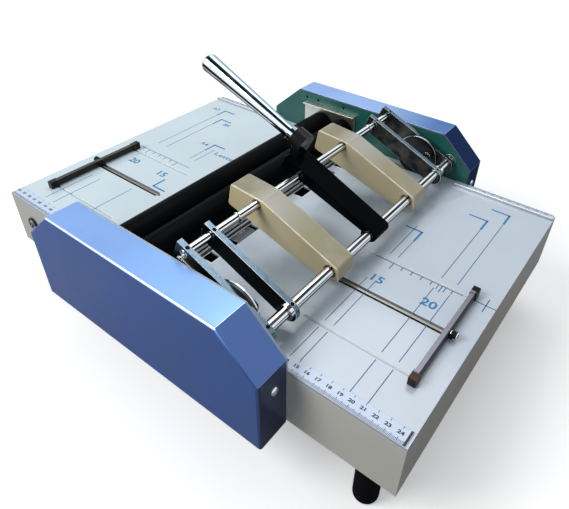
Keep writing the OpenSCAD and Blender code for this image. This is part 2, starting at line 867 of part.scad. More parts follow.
// Magazine's own axes: origin at the nose, X back along its floor
mag_tilt = 5.9;
module in_magazine(y) {
    in_frame() translate([-nose_run, y, -28.5]) rotate([0, -mag_tilt, 0]) children();
}

module stapler(y) {
    color("khaki") difference() {
        in_frame() translate([0, y, 0]) soft_slab([
            [-nose_run - 0.5, -6.5, 3.5], [-nose_run + 3.3, -24.5, 3.5], [-32, -16.2, 3.5], [-8, -11.1, 4.5],
            [6, -3.5, 5], [3, 5, 3.5], [-85.5, 4, 3.5]
        ], stapler_w, 1.5);
        rod_y(px, pz, pivot_d / 2, y - stapler_w, y + stapler_w);
        rod_y(tx, tz, tie_d / 2, y - stapler_w, y + stapler_w);
        for (side = [-1, 1]) {
            rod_y(px, pz, pivot_d / 2 + 1.3, y + side * stapler_w / 2 - 2, y + side * stapler_w / 2 + 2);
            rod_y(tx, tz, tie_d / 2 + 1.3, y + side * stapler_w / 2 - 2, y + side * stapler_w / 2 + 2);
        }
        in_magazine(y) span(-4, magazine_l + 2, -magazine_w / 2 - 0.5, magazine_w / 2 + 0.5,
            -4, magazine_h + 2);
    }
}

module front_stapler() {
    stapler(front_stapler_y);
}

module rear_stapler() {
    stapler(rear_stapler_y);
}

module magazine(y) {
    w = magazine_w / 2;
    color("silver") in_magazine(y) difference() {
        span(1, magazine_l, -w, w, 0.4, magazine_h + 0.4);
        span(3, magazine_l + 1, -w + 1, w - 1, 1.4, magazine_h + 1);
        span(1.5, 2.3, -w + 1, w - 1, -1, magazine_h + 1);
    }
}

module front_magazine() {
    magazine(front_stapler_y);
}

module rear_magazine() {
    magazine(rear_stapler_y);
}

module pusher(y) {
    w = magazine_w / 2 - 1 - pass_gap;
    color("dimgray") in_magazine(y) difference() {
        span(pusher_run, pusher_run + pusher_l, -w, w, 1.4 + pass_gap, magazine_h - 1);
        span(pusher_run + 4, pusher_run + pusher_l + 1, -w + 1.2, w - 1.2, 3, magazine_h);
    }
}

module front_pusher() {
    pusher(front_stapler_y);
}

module rear_pusher() {
    pusher(rear_stapler_y);
}

module crank_shape(x, z, shaft_r) {
    difference() {
        union() {
            translate([x, z]) circle(r = 9);
            hull() {
                translate([x, z]) circle(r = 7, $fn = 32);
                translate([x + crank_l * cos(crank_ang), z + crank_l * sin(crank_ang)])
                    circle(r = 6, $fn = 32);
            }
        }
        translate([x, z]) circle(r = shaft_r);
    }
}

module crank(x, z, shaft_r) {
    cx = x + crank_l * cos(crank_ang);
    cz = z + crank_l * sin(crank_ang);
    along_y(crank_y, crank_y + crank_t) crank_shape(x, z, shaft_r);
    rod_y(cx, cz, 3, crank_y + crank_t, link_end_y + 0.5);
    rod_y(cx, cz, 5, link_end_y + 0.4, link_end_y + 1.8);
}

module crank_arms() {
    color("slategray") mirror_y() crank(px, pz, pivot_d / 2);
}

module balance_springs() {
    color("silver") mirror_y() {
        tube_y(px, pz, pivot_d / 2 + 3.2, pivot_d / 2 + 0.6, plate_y + 2, crank_y - pass_gap);
    }
}

module connecting_bars() {
    color("slategray") mirror_y() difference() {
        along_y(link_y, link_end_y) union() {
            translate([crank_px, crank_pz]) circle(r = 6.5);
            translate([crank_lx, crank_lz]) circle(r = 6.5);
            hull() {
                translate([crank_px, crank_pz]) circle(r = 5, $fn = 32);
                translate([crank_lx, crank_lz]) circle(r = 5, $fn = 32);
            }
        }
        rod_y(crank_px, crank_pz, 3 + running, link_y - 1, link_end_y + 1);
        rod_y(crank_lx, crank_lz, 3 + pass_gap, link_y - 1, link_end_y + 1);
    }
}

module lift_shaft() {
    color("silver") rod_y(lift_x, lift_z, lift_d / 2, -crank_y - crank_t, crank_y + crank_t);
}

module lift_arms() {
    y0 = lift_arm_y - lift_arm_t / 2;
    y1 = lift_arm_y + lift_arm_t / 2;
    color("slategray") {
        mirror_y() {
            crank(lift_x, lift_z, lift_d / 2);
            along_y(y0, y1) difference() {
                union() {
                    translate([lift_x, lift_z]) circle(r = lift_d / 2 + 4);
                    hull() {
                        translate([lift_x, lift_z]) circle(r = 7, $fn = 32);
                        translate([lift_pin_x, lift_pin_z]) circle(r = 4.2, $fn = 32);
                    }
                }
                translate([lift_x, lift_z]) circle(r = lift_d / 2);
            }
            rod_y(lift_pin_x, lift_pin_z, lift_pin_r, y0 - 9, y0 + 0.5);
        }
    }
}

module drive_sector() {
    y0 = -sector_y - sector_w;
    low = mesh_ang - swing_down - 8;
    high = mesh_ang + swing_up + 8;
    reach = gear_m * sector_teeth;
    color("silver") difference() {
        union() {
            translate([lift_x, 0, lift_z]) along_y(y0, -sector_y) intersection() {
                rotate(mesh_ang) gear_shape(sector_teeth);
                polygon([[0, 0], polar(reach, low), polar(reach, (low + high) / 2), polar(reach, high)]);
            }
            rod_y(lift_x, lift_z, lift_d / 2 + 5, y0, -sector_y);
        }
        rod_y(lift_x, lift_z, lift_d / 2, y0 - 1, -sector_y + 1);
    }
}

module roller(x) {
    reach = half_w - bracket_t - 2;
    color("#1c1c1e") tube_y(x, roller_z, roller_d / 2, journal_d / 2 + 1, -reach, reach);
}

module left_roller() {
    roller(left_roller_x);
}

module right_roller() {
    roller(right_roller_x);
}

// Shaft with a thicker middle inside the rubber; front_y is its reach to the front
module roller_shaft(x, front_y) {
    reach = half_w - bracket_t - 2;
    color("silver") union() {
        rod_y(x, roller_z, journal_d / 2 + 1, -reach, reach);
        rod_y(x, roller_z, journal_d / 2, -front_y, plate_y + 3);
    }
}

module left_roller_shaft() {
    roller_shaft(left_roller_x, gear_y + gear_w + 0.8);
}

module right_roller_shaft() {
    roller_shaft(right_roller_x, sector_y + sector_w + 0.6);
}

module left_roller_gear() {
    color("silver") gear_y_at(left_roller_x, roller_z, roller_teeth, 0, journal_d / 2,
        -gear_y - gear_w, -gear_y);
}

module right_roller_gear() {
    color("silver") gear_y_at(right_roller_x, roller_z, roller_teeth, 180 / roller_teeth, journal_d / 2,
        -gear_y - gear_w, -gear_y);
}

module clutch_gear() {
    color("silver") gear_y_at(right_roller_x, roller_z, clutch_teeth, mesh_ang + 180 + 180 / clutch_teeth,
        journal_d / 2 + running, -sector_y - sector_w, -sector_y);
}

module fold_knife() {
    t = knife_t / 2;
    color("silver") translate([nip_x, 0, 0]) along_y(-knife_l / 2, knife_l / 2) polygon([
        [-t, carrier_z + 4], [t, carrier_z + 4], [t, tip_z - 4], [0.4, tip_z], [-0.4, tip_z], [-t, tip_z - 4]
    ]);
}

module knife_carrier() {
    reach = guide_y + guide_r + guide_wall;
    lug_x = lift_x - lift_arm * cos(swing_up - swing_mid) + lift_pin_r + 6;
    lug_y0 = lift_arm_y - lift_arm_t / 2 - 7;
    slot_r = lift_pin_r + 0.8;
    slot_x0 = lift_x - lift_arm;
    slot_x1 = lift_x - lift_arm * cos(swing_up - swing_mid);
    color("slategray") difference() {
        union() {
            span(nip_x - carrier_w / 2, nip_x + carrier_w / 2, -reach, reach,
                carrier_z, carrier_z + carrier_h);
            mirror_y() span(nip_x, lug_x, lug_y0, lug_y0 + 5, carrier_z - 0.6, carrier_z + carrier_h + 0.6);
        }
        span(nip_x - knife_t / 2, nip_x + knife_t / 2, -knife_l / 2, knife_l / 2,
            carrier_z + 4, carrier_z + carrier_h + 1);
        mirror_y() {
            translate([nip_x, guide_y, carrier_z - 1]) cylinder(r = guide_r + running, h = carrier_h + 2);
            span(slot_x0, slot_x1, lug_y0 - 1, lug_y0 + 6, lift_pin_z - slot_r, lift_pin_z + slot_r);
            rod_y(slot_x0, lift_pin_z, slot_r, lug_y0 - 1, lug_y0 + 6);
            rod_y(slot_x1, lift_pin_z, slot_r, lug_y0 - 1, lug_y0 + 6);
        }
    }
}

// Rails that lie along the slots, with their ends seated in the tables
rail_seat = 3;
module stop_rails() {
    color("silver") for (side = [-1, 1]) mirror([side > 0 ? 0 : 1, 0, 0])
        translate([slot_inner - rail_seat, slot_y(side), rail_z]) rotate([0, 90, 0])
            cylinder(r = rail_d / 2, h = slot_outer(side) - slot_inner + 2 * rail_seat);
}

// Stop bar on two end blocks, with a shoe that rides the rail under the table
module stop_bar(side, knob_y) {
    x = stop_x(side);
    y0 = stop_y(side) - stop_l / 2;
    y1 = stop_y(side) + stop_l / 2;
    mid_y = slot_y(side);
    z0 = table_z + pass_gap;
    top = table_z + stop_h;
    shoe_z = deck_z - pass_gap;
    neck = slot_w / 2 - pass_gap;
    end_w = stop_w / 2 + 0.8;
    mirror([side > 0 ? 0 : 1, 0, 0]) color("dimgray") difference() {
        union() {
            span(x - stop_w / 2, x + stop_w / 2, y0 + 1, y1 - 1, z0 + 1.2, top);
            for (e = [y0, y1 - stop_end_l])
                span(x - end_w, x + end_w, e, e + stop_end_l, z0, top + 0.4);
            span(x - neck, x + neck, mid_y - neck, mid_y + neck, shoe_z - 1, z0);
            span(x - stop_w / 2, x + stop_w / 2, mid_y - neck, mid_y + neck, z0 - 1, z0 + 2);
            span(x - 9, x + 9, mid_y - 8, mid_y + 8, shoe_z - 3, shoe_z);
            for (y = [stop_y(side) - groove_reach(), stop_y(side) + groove_reach()])
                translate([x, y, table_z - 0.6]) cylinder(r = groove_w / 2 - pass_gap, h = 2);
        }
        translate([x, knob_y, stop_mid_z]) rotate([0, 90, 0])
            cylinder(r = knob_screw_r + running, h = stop_w + 6, center = true);
        translate([x, mid_y, rail_z]) rotate([0, 90, 0])
            cylinder(r = rail_d / 2 + pass_gap, h = 30, center = true);
    }
}

knob_screw_r = 1.5;
module stop_knob(side, knob_y) {
    x = stop_x(side) + stop_w / 2 + 0.2;
    mirror([side > 0 ? 0 : 1, 0, 0]) color("black") translate([x, knob_y, stop_mid_z]) rotate([0, 90, 0]) {
        cylinder(r = knob_d / 2, h = knob_l);
        translate([0, 0, -stop_w - 0.2]) cylinder(r = knob_screw_r, h = stop_w + 1);
    }
}

module right_stop_bar() {
    stop_bar(1, right_stop_y);
}

module right_stop_knob() {
    stop_knob(1, right_stop_y);
}

module left_stop_bar() {
    stop_bar(-1, slot_y(-1));
}

module left_stop_knob() {
    stop_knob(-1, slot_y(-1));
}

housing();
bottom_plate();
left_table();
right_table();
guide_plate();
anvil_bar();
anvils();
front_cover();
rear_cover();
front_side_plate();
rear_side_plate();
roller_brackets();
shaft_bushes();
rulers();
rear_fences();
feet();
foot_screws();
panel_screws();
knife_guides();
pivot_rod();
tie_rod();
outer_bars();
inner_bars();
stop_rails();
wall_ring();
cam_discs();
disc_bolts();
set_screws();
rod_rings();
bar_straps();
strap_bolts();
lever_arm();
handle_socket();
handle_nut();
handle();
front_stapler();
rear_stapler();
crank_arms();
balance_springs();
front_magazine();
rear_magazine();
front_pusher();
rear_pusher();
left_roller();
left_roller_shaft();
left_roller_gear();
right_roller();
right_roller_shaft();
right_roller_gear();
clutch_gear();
fold_knife();
knife_carrier();
connecting_bars();
lift_shaft();
lift_arms();
drive_sector();
right_stop_bar();
right_stop_knob();
left_stop_bar();
left_stop_knob();
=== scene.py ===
"""Looks of a hand-lever booklet maker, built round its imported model."""
import json
import math

import bmesh
import bpy
from mathutils import Matrix, Vector

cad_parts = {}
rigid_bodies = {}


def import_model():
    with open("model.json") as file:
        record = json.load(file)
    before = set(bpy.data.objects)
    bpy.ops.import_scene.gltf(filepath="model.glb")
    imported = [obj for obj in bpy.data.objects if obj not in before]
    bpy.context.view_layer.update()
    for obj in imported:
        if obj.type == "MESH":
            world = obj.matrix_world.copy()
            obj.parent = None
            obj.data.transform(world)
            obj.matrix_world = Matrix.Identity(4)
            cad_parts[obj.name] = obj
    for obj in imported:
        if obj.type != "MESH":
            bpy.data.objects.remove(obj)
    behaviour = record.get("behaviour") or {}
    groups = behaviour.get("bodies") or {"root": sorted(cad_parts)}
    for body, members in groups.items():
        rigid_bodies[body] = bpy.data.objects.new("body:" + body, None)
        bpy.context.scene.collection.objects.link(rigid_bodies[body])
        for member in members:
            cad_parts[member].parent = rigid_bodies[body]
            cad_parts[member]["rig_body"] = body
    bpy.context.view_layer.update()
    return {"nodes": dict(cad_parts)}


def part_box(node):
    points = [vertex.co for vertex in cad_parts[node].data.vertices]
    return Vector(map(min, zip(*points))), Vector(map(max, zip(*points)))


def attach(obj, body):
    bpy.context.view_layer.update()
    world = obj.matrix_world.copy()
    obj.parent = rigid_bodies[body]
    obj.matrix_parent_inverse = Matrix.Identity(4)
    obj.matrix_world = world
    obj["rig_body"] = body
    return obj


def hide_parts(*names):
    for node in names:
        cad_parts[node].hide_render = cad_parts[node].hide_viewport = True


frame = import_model()
NODES = frame["nodes"]

# Lengths are in metres, apart from those whose comment says mm
MM = 0.001

bl_info = {
    "name": "Booklet Maker Looks",
    "version": (1, 0, 0),
    "blender": (4, 5, 0),
    "location": "View3D > Sidebar > Booklet",
    "description": "Finishes, printed marks, rulers and stage for a hand-lever booklet maker",
    "category": "Object",
}

# Heights and edges, read from the imported frame
TABLE_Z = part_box("right_table")[1][2]
RULER_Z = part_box("rulers")[1][2]
RULER_LO, RULER_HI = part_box("rulers")

# The line of the staples, which the rulers count from, and a point on the handle's axis
STAPLE_X = -0.0025
HANDLE_AXIS = (0.1280, 0, 0.16585)

# Rise and run of the swing frame between its two rods, in mm, and how far its bars lean
BAR_RISE, BAR_RUN = 35, 82.2
FRAME_TILT = math.atan2(BAR_RISE, BAR_RUN)

# Marks on the tables, in mm. A corner has its X and Y and the reach of its two legs
CORNER_MARKS = (
    (207.5, 137.7, -20, -19), (192, 113.7, -20, -19), (146.5, 52.7, -19, -19),
    (-208.5, 134.7, 18, -18), (-193.5, 111.3, 18, -18), (-148.5, 52.1, 18, -18),
    (-134.5, -61.3, 19, 17.5),
)

# Thin lines along Y, in mm: X, and the runs of the line
PAPER_LINES = (
    (207.5, ((118, 2), (-15, -108), (-117, -156))), (192, ((94, 2), (-15, -108), (-117, -156))),
    (146.5, ((33, 2), (-40, -108), (-117, -156))), (137.5, ((60, 2), (-40, -108), (-117, -156))),
    (-208.5, ((116, 10), (-90, -150))), (-193.5, ((92, 10), (-90, -150))),
    (-148.5, ((33, 8), (-80, -150))), (-139.5, ((42, 8),)),
)

# Words on the tables: X, Y and height in mm, and how many times wider the letters are
TABLE_WORDS = (
    ("15", 145.5, -37, 9.0, 1.15), ("20", 197.5, -36.3, 9.2, 1.15), ("20", -196.5, -38.3, 9.0, 1.15),
    ("15", -147.5, -38.3, 9.0, 1.15), ("A3", -223, 131.5, 6.4, 1.15), ("8K", -175, 102.4, 6.4, 1.15),
    ("A4", -161, 46, 6.4, 1.15), ("Letter", -115, 37, 6.4, 1.6),
)
# How far the letters' outlines are widened, and a digit's height as a share of the font's size
DIGIT_BOLD, WORD_BOLD, DIGIT_SHARE = 0.0003, 0.0001, 0.70

# The centre scale, in mm: its Y, the ends of its lines, its centimetres and their long and short ticks
SCALE_Y = -8.3
SCALE_LINES = ((128, 217.5), (-217.5, -132))
SCALE_CM = range(15, 22)
LONG_CM, LONG_TICK, SHORT_TICK = (15, 20), 9, 5
EXTRA_TICKS, EXTRA_TICK = (194.0, 201.0), 7
# How many times wider than a thin line the ticks and the cross are
HEAVIER = 1.3

# The cross by the right edge, in mm: its middle and the reach of its arms along X and Y
CROSS_X, CROSS_Y, CROSS_ARM_X, CROSS_ARM_Y = 237.9, -7.3, (-10, 9), (-9, 9)

# Painted highlights on the lips of the notches, in mm: their runs along Y, their width, and where they
# start and turn
NOTCH_RUNS = ((-115, -103), (26.7, 46.7), (107, 117))
LIP, LIP_START, LIP_TURN = 1.2, 4.5, 12.2

# Rulers: widths of the strips, and starts of their scales, with the first five from there
FRONT_STRIP, REAR_STRIP = 0.0135, 0.0082
LEFT_SCALE, RIGHT_SCALE = (-0.2445, 0.002), (0.1345, 0.003)
# How many millimetres and fives a scale has, its centimetres, and how far out one is printed
MM_COUNT, FIVE_COUNT, RULER_CM, LAST_CM = 110, 22, range(14, 25), 0.2435
# Length and width of the ticks at each millimetre, each five and each centimetre, and on the far edge
MM_TICK, FIVE_TICK = (0.0026, 0.00034), (0.0034, 0.0004)
CM_TICK, FAR_TICK, CM_WIDTH = 0.0038, 0.0022, 0.00045
END_LINE, END_WIDTH = 0.0012, 0.0018
# Numbers: how far in from the strip's middle, their greatest share of its width, weight and stretch
NUMBER_IN, NUMBER_SHARE, NUMBER_BOLD, NUMBER_WIDE = 0.0008, 0.3, 0.00016, 1.3

# Screws of the covers: head, shank, cross recess, and where they sit beside the side plates
HEAD_RADIUS, HEAD_RISE, HEAD_SIDES, HEAD_CREASE = 0.004, 0.002, 28, 35
SHANK_RADIUS, SHANK_DEPTH = 0.0016, 0.0034
RECESS_REACH, RECESS_HALF, RECESS_FLOOR, RECESS_ROOF = 0.0024, 0.00045, 0.0009, 0.0030
SCREW_OUT, SCREW_BELOW_TABLE = 0.014, 0.006
# Turn of the recess in radians, for each degree that its screw is turned
RECESS_TURN = 0.4

# Merging and smoothing of the CAD nodes' copies: distance in metres, angles in degrees
WELD, FLAT, CREASE = 0.00002, 0.4, 55

# Lamps: place and width, and the point that they face
KEY_PLACE, KEY_WIDTH = (-0.75, -1.25, 1.45), 1.1
TOP_PLACE, TOP_WIDTH = (-0.25, 0.55, 1.7), 1.3
LAMP_AIM = (0, 0, 0.12)

# Sky: colour, and its strength as light on rough surfaces
SKY, SKY_DIM = (0.94, 0.97, 1.0, 1), 0.32

# Floor: half its width, its colour for bounced light, and its glow from near to far
FLOOR_REACH, FLOOR_BOUNCE = 12, (0.30, 0.30, 0.31, 1)
GLOW, GLOW_PLACE = (0.36, 0.70), (0.9, 2.4)

# Camera, fitted to the photograph: place in metres, turn in degrees, shift in widths of the picture
CAMERA_PLACE = (0.30013, -0.36809, 0.45260)
CAMERA_TURN = (53.2992, -0.9731, 37.4061)
CAMERA_SHIFT = (-0.0226, -0.0582)

ALONG_X, ALONG_Y, UP = (1, 0, 0), (0, 1, 0), (0, 0, 1)

# Colour sockets of the Mix node, which share their names with its other sockets
MIX_A, MIX_B, MIX_RESULT = 6, 7, 2

# Painted highlight along the covers' outer top edge, and how far its line lies in from the side and down
# from the top
PAINTED_EDGE_HIGHLIGHT = (0.85, 0.94, 1.0)
HIGHLIGHT_IN, HIGHLIGHT_DOWN = (0.0020, 0.0012), (0.0016, 0.0010)

# The rear cover, which lies in shade, with its light and shade painted: where painted shade deepens its top
# along X, the painted light on its top, the painted shade on its slopes, its tint, and its coat
DUSK_START, DUSK_FADE = 0.02, 0.07
REAR_TOP_LIGHT, REAR_SLOPE_SHADE, DUSK_TINT = (0.38, 0.52, 0.78), 0.16, (0.30, 0.45, 0.85, 1)
DUSK_COAT = 0.02

# Stop bars: where painted shade darkens the right one's outer side, and where the caps end and the bar
# starts
STOP_SHADE = (0.2262, 0.2266)
NEAR_CAP, FAR_CAP = (0.0085, 0.0070), (0.0075, 0.0060)

# Wall ring: radii of the screw, the ring and the dot, a painted highlight, and half the fade between them
SCREW_EDGE, RING_EDGE, DOT_EDGE, PLUG_FADE = 0.0034, 0.0060, 0.0010, 0.0001

# Lean of the staplers' magazines, in degrees
MAGAZINE_LEAN = -17

# How far in from a cam disc's outer face the painted highlight on its polished side ends
DISC_DARK = 0.0027


def colour_prop(label, text, rgb):
    return bpy.props.FloatVectorProperty(
        name=label, description=text, subtype="COLOR", size=3, min=0, max=1, default=rgb)


def length_prop(label, text, value):
    return bpy.props.FloatProperty(
        name=label, description=text, default=value, min=0, unit="LENGTH", subtype="DISTANCE")


class PaintSettings(bpy.types.PropertyGroup):
    """Colours of the painted pieces"""
    table: colour_prop("Table", "Gloss paint of the table plates", (0.54, 0.625, 0.715))
    body: colour_prop("Body", "Paint of the body's walls", (0.56, 0.55, 0.50))
    cover: colour_prop("Covers", "Metallic paint on top of the side covers", (0.22, 0.385, 0.74))
    # Painted shade: the covers' outer faces, slopes and ends are painted darker than their top
    cover_side: colour_prop("Covers, sides", "Deeper paint of the covers' outer faces", (0.095, 0.21, 0.60))
    cover_deep: colour_prop("Covers, ends", "Deepest paint, on slopes and ends", (0.075, 0.145, 0.37))
    ruler: colour_prop("Rulers", "Film of the ruler strips", (0.56, 0.67, 0.86))
    plate: colour_prop("Side plates", "Paint of the side plates", (0.010, 0.105, 0.088))
    stapler: colour_prop("Staplers", "Enamel of the stapler bodies", (0.68, 0.575, 0.345))
    # Painted shade: the staplers' tops are painted darker than their sides
    stapler_top: colour_prop("Staplers, tops", "Duller enamel on top of the staplers", (0.36, 0.325, 0.20))
    lever: colour_prop("Lever", "Black enamel of the lever arm and its socket", (0.0012, 0.0022, 0.0038))


class PrintSettings(bpy.types.PropertyGroup):
    """Printed marks on the tables and the rulers"""
    ink: colour_prop("Table ink", "Colour of the marks on the tables", (0.010, 0.19, 0.45))
    faint_ink: colour_prop("Thin line ink", "Colour of the thin lines", (0.013, 0.095, 0.25))
    ruler_ink: colour_prop("Ruler ink", "Colour of the ruler marks", (0.004, 0.005, 0.008))
    thick: length_prop("Corner line", "Width of the corner marks", 0.0022)
    thin: length_prop("Thin line", "Width of the thin lines", 0.00075)
    film: length_prop("Film", "Height of the print above its surface", 0.00006)
    digit: length_prop("Ruler digits", "Height of the ruler's digits", 0.0028)


class StageSettings(bpy.types.PropertyGroup):
    """Floor, light and camera"""
    floor: colour_prop("Floor", "Colour of the floor", (0.90, 0.90, 0.90))
    key: bpy.props.FloatProperty(
        name="Key light", description="Power of the large lamp at the front left", default=24, min=0,
        unit="POWER")
    top: bpy.props.FloatProperty(
        name="Top light", description="Power of the lamp overhead", default=9, min=0, unit="POWER")
    lens: bpy.props.FloatProperty(
        name="Lens", description="Focal length of the camera", default=33.405, min=1, unit="CAMERA")


def look():
    return bpy.context.scene.booklet_paint


def ink():
    return bpy.context.scene.booklet_print


def shade(rgb, k):
    """A colour made k times as bright"""
    return (min(1, rgb[0] * k), min(1, rgb[1] * k), min(1, rgb[2] * k), 1)


class Finish:
    """A material under construction: a surface shader and the textures that feed it"""

    def __init__(self, name, rgb, rough, metal=0.0, coat=0.0):
        self.mat = bpy.data.materials.new(name)
        self.mat.use_nodes = True
        self.tree = self.mat.node_tree
        self.tree.nodes.clear()
        out = self.add("ShaderNodeOutputMaterial")
        self.skin = self.add("ShaderNodeBsdfPrincipled")
        self.link(self.skin.outputs["BSDF"], out.inputs["Surface"])
        self.skin.inputs["Base Color"].default_value = (*rgb, 1)
        self.skin.inputs["Roughness"].default_value = rough
        self.skin.inputs["Metallic"].default_value = metal
        self.skin.inputs["Coat Weight"].default_value = coat
        self.skin.inputs["Coat Roughness"].default_value = 0.08
        self.rgb = rgb
        where = self.add("ShaderNodeTexCoord")
        self.place = where.outputs["Object"]
        self.normal = where.outputs["Normal"]

    def add(self, kind):
        return self.tree.nodes.new(kind)

    def link(self, a, b):
        self.tree.links.new(a, b)

    def colour(self, out):
        """Makes an output the base colour"""
        self.link(out, self.skin.inputs["Base Color"])

    def present_colour(self):
        """The output that feeds the base colour so far"""
        return self.skin.inputs["Base Color"].links[0].from_socket

    def roughness(self, out):
        self.link(out, self.skin.inputs["Roughness"])

    def noise(self, scale, detail=3, turn=(0, 0, 0), stretch=(1, 1, 1), rough=0.55):
        mapping = self.add("ShaderNodeMapping")
        mapping.inputs["Rotation"].default_value = turn
        mapping.inputs["Scale"].default_value = stretch
        self.link(self.place, mapping.inputs["Vector"])
        tex = self.add("ShaderNodeTexNoise")
        tex.inputs["Scale"].default_value = scale
        tex.inputs["Detail"].default_value = detail
        tex.inputs["Roughness"].default_value = rough
        self.link(mapping.outputs["Vector"], tex.inputs["Vector"])
        return tex.outputs["Fac"]

    def ramp(self, fac, low, high, start=0.35, end=0.65):
        node = self.add("ShaderNodeMapRange")
        node.inputs["From Min"].default_value = start
        node.inputs["From Max"].default_value = end
        node.inputs["To Min"].default_value = low
        node.inputs["To Max"].default_value = high
        self.link(fac, node.inputs["Value"])
        return node.outputs["Result"]

    def blend(self, fac, low, high):
        node = self.add("ShaderNodeMix")
        node.data_type = "RGBA"
        self.link(fac, node.inputs["Factor"])
        for socket, value in ((node.inputs[MIX_A], low), (node.inputs[MIX_B], high)):
            if isinstance(value, tuple):
                socket.default_value = value
            else:
                self.link(value, socket)
        return node.outputs[MIX_RESULT]

    def mottle(self, scale, spread, detail=3, **where):
        """Lighter and darker patches of the base colour"""
        fac = self.ramp(self.noise(scale, detail, **where), 0, 1, 0.3, 0.7)
        out = self.blend(fac, shade(self.rgb, 1 - spread), shade(self.rgb, 1 + spread))
        self.colour(out)
        return out

    def uneven_gloss(self, scale, low, high, **where):
        fac = self.noise(scale, 4, **where)
        self.roughness(self.ramp(fac, low, high))

    def relief(self, scale, depth, detail=2, strength=0.4, **where):
        node = self.add("ShaderNodeBump")
        node.inputs["Strength"].default_value = strength
        node.inputs["Distance"].default_value = depth
        self.link(self.noise(scale, detail, **where), node.inputs["Height"])
        self.link(node.outputs["Normal"], self.skin.inputs["Normal"])
        return node

    def math(self, kind, a, b=None):
        node = self.add("ShaderNodeMath")
        node.operation = kind
        for socket, value in ((node.inputs[0], a), (node.inputs[1], b)):
            if isinstance(value, (int, float)):
                socket.default_value = value
            elif value:
                self.link(value, socket)
        return node.outputs[0]

    def times(self, a, b):
        return self.math("MULTIPLY", a, b)

    def vector_math(self, kind, source, other=(0, 0, 0)):
        node = self.add("ShaderNodeVectorMath")
        node.operation = kind
        node.inputs[1].default_value = other
        self.link(source, node.inputs[0])
        return node

    def facing(self, axis, start, end, both=False):
        """How far a face turns towards an axis of the object, from 0 to 1"""
        dot = self.vector_math("DOT_PRODUCT", self.normal, axis)
        value = self.math("ABSOLUTE", dot.outputs["Value"]) if both else dot.outputs["Value"]
        return self.ramp(value, 0, 1, start, end)

    def coordinate(self, axis):
        split = self.add("ShaderNodeSeparateXYZ")
        self.link(self.place, split.inputs["Vector"])
        return split.outputs[axis]

    def along(self, axis, start, end):
        """How far a place lies between two coordinates, from 0 to 1"""
        return self.ramp(self.coordinate(axis), 0, 1, start, end)

    def from_centre(self, centre):
        return self.vector_math("SUBTRACT", self.place, centre).outputs["Vector"]

    def turn_about(self, centre, tilt, axes):
        """Angle about a line through centre, or the way the surface turns, from 0 to 1 for a full turn"""
        level = self.add("ShaderNodeMapping")
        level.inputs["Rotation"].default_value = (0, tilt, 0)
        self.link(self.from_centre(centre) if centre else self.normal, level.inputs["Vector"])
        split = self.add("ShaderNodeSeparateXYZ")
        self.link(level.outputs["Vector"], split.inputs["Vector"])
        angle = self.math("ARCTAN2", split.outputs[axes[1]], split.outputs[axes[0]])
        return self.math("ADD", self.math("DIVIDE", angle, math.tau), 0.5)

    def bands(self, fac, stops, tint=(0.93, 0.97, 1.0)):
        """Colour that follows stops of degrees, each with a brightness or a colour"""
        node = self.add("ShaderNodeValToRGB")
        ramp = node.color_ramp
        for k, (degrees, level) in enumerate(stops):
            place = degrees / 360 + 0.5
            stop = ramp.elements[k] if k < 2 else ramp.elements.new(place)
            stop.position = place
            stop.color = (*(level if isinstance(level, tuple) else (level * c for c in tint)), 1)
        self.link(fac, node.inputs["Fac"])
        return node.outputs["Color"]

    def around(self, centre):
        """Distance from a line along Y through centre"""
        flat = self.vector_math("MULTIPLY", self.from_centre(centre), (1, 0, 1))
        return self.vector_math("LENGTH", flat.outputs["Vector"]).outputs["Value"]


def sheet_paint(name, rgb, rough=0.3, spread=0.04, coat=0.3):
    f = Finish(name, rgb, rough, coat=coat)
    f.mottle(9, spread, 4)
    f.uneven_gloss(14, rough - 0.06, rough + 0.08)
    f.relief(900, 0.00004, 2, 0.25)
    return f.mat


def table_paint(name, rgb, groove_shade):
    """Gloss paint, with painted shade in the shallow grooves"""
    f = Finish(name, rgb, 0.22, coat=0.5)
    # Painted shade: the grooves' floors take a darker colour
    sunk = f.along("Z", TABLE_Z - 0.0002, TABLE_Z - 0.0006)
    f.colour(f.blend(sunk, f.mottle(9, 0.05, 4), groove_shade))
    f.uneven_gloss(14, 0.16, 0.30)
    f.relief(900, 0.00004, 2, 0.25)
    return f.mat


def metallic_paint(name, rgb, side, deep, coat=0.2):
    """Flake paint with painted shade where a panel turns away from the top: the side colour on faces turned
    along Y, the deep colour on faces turned towards +X, darker still on those that face +X fully
    """
    f = Finish(name, rgb, 0.34, metal=0.86, coat=coat)
    patches = f.mottle(7, 0.05, 3)
    flakes = f.ramp(f.noise(5200, 1), 0, 1, 0.52, 0.72)
    flaked = f.blend(flakes, patches, shade(rgb, 1.3))
    # Painted shade on the faces turned along Y and towards +X
    outward = f.blend(f.facing(ALONG_Y, 0.3, 0.9, both=True), flaked, shade(side, 1))
    sloped = f.blend(f.facing(ALONG_X, 0.1, 0.6), outward, shade(deep, 1))
    f.colour(f.blend(f.facing(ALONG_X, 0.75, 0.98), sloped, shade(deep, 0.42)))
    f.uneven_gloss(18, 0.30, 0.42)
    f.relief(1100, 0.00003, 2, 0.2)
    return f


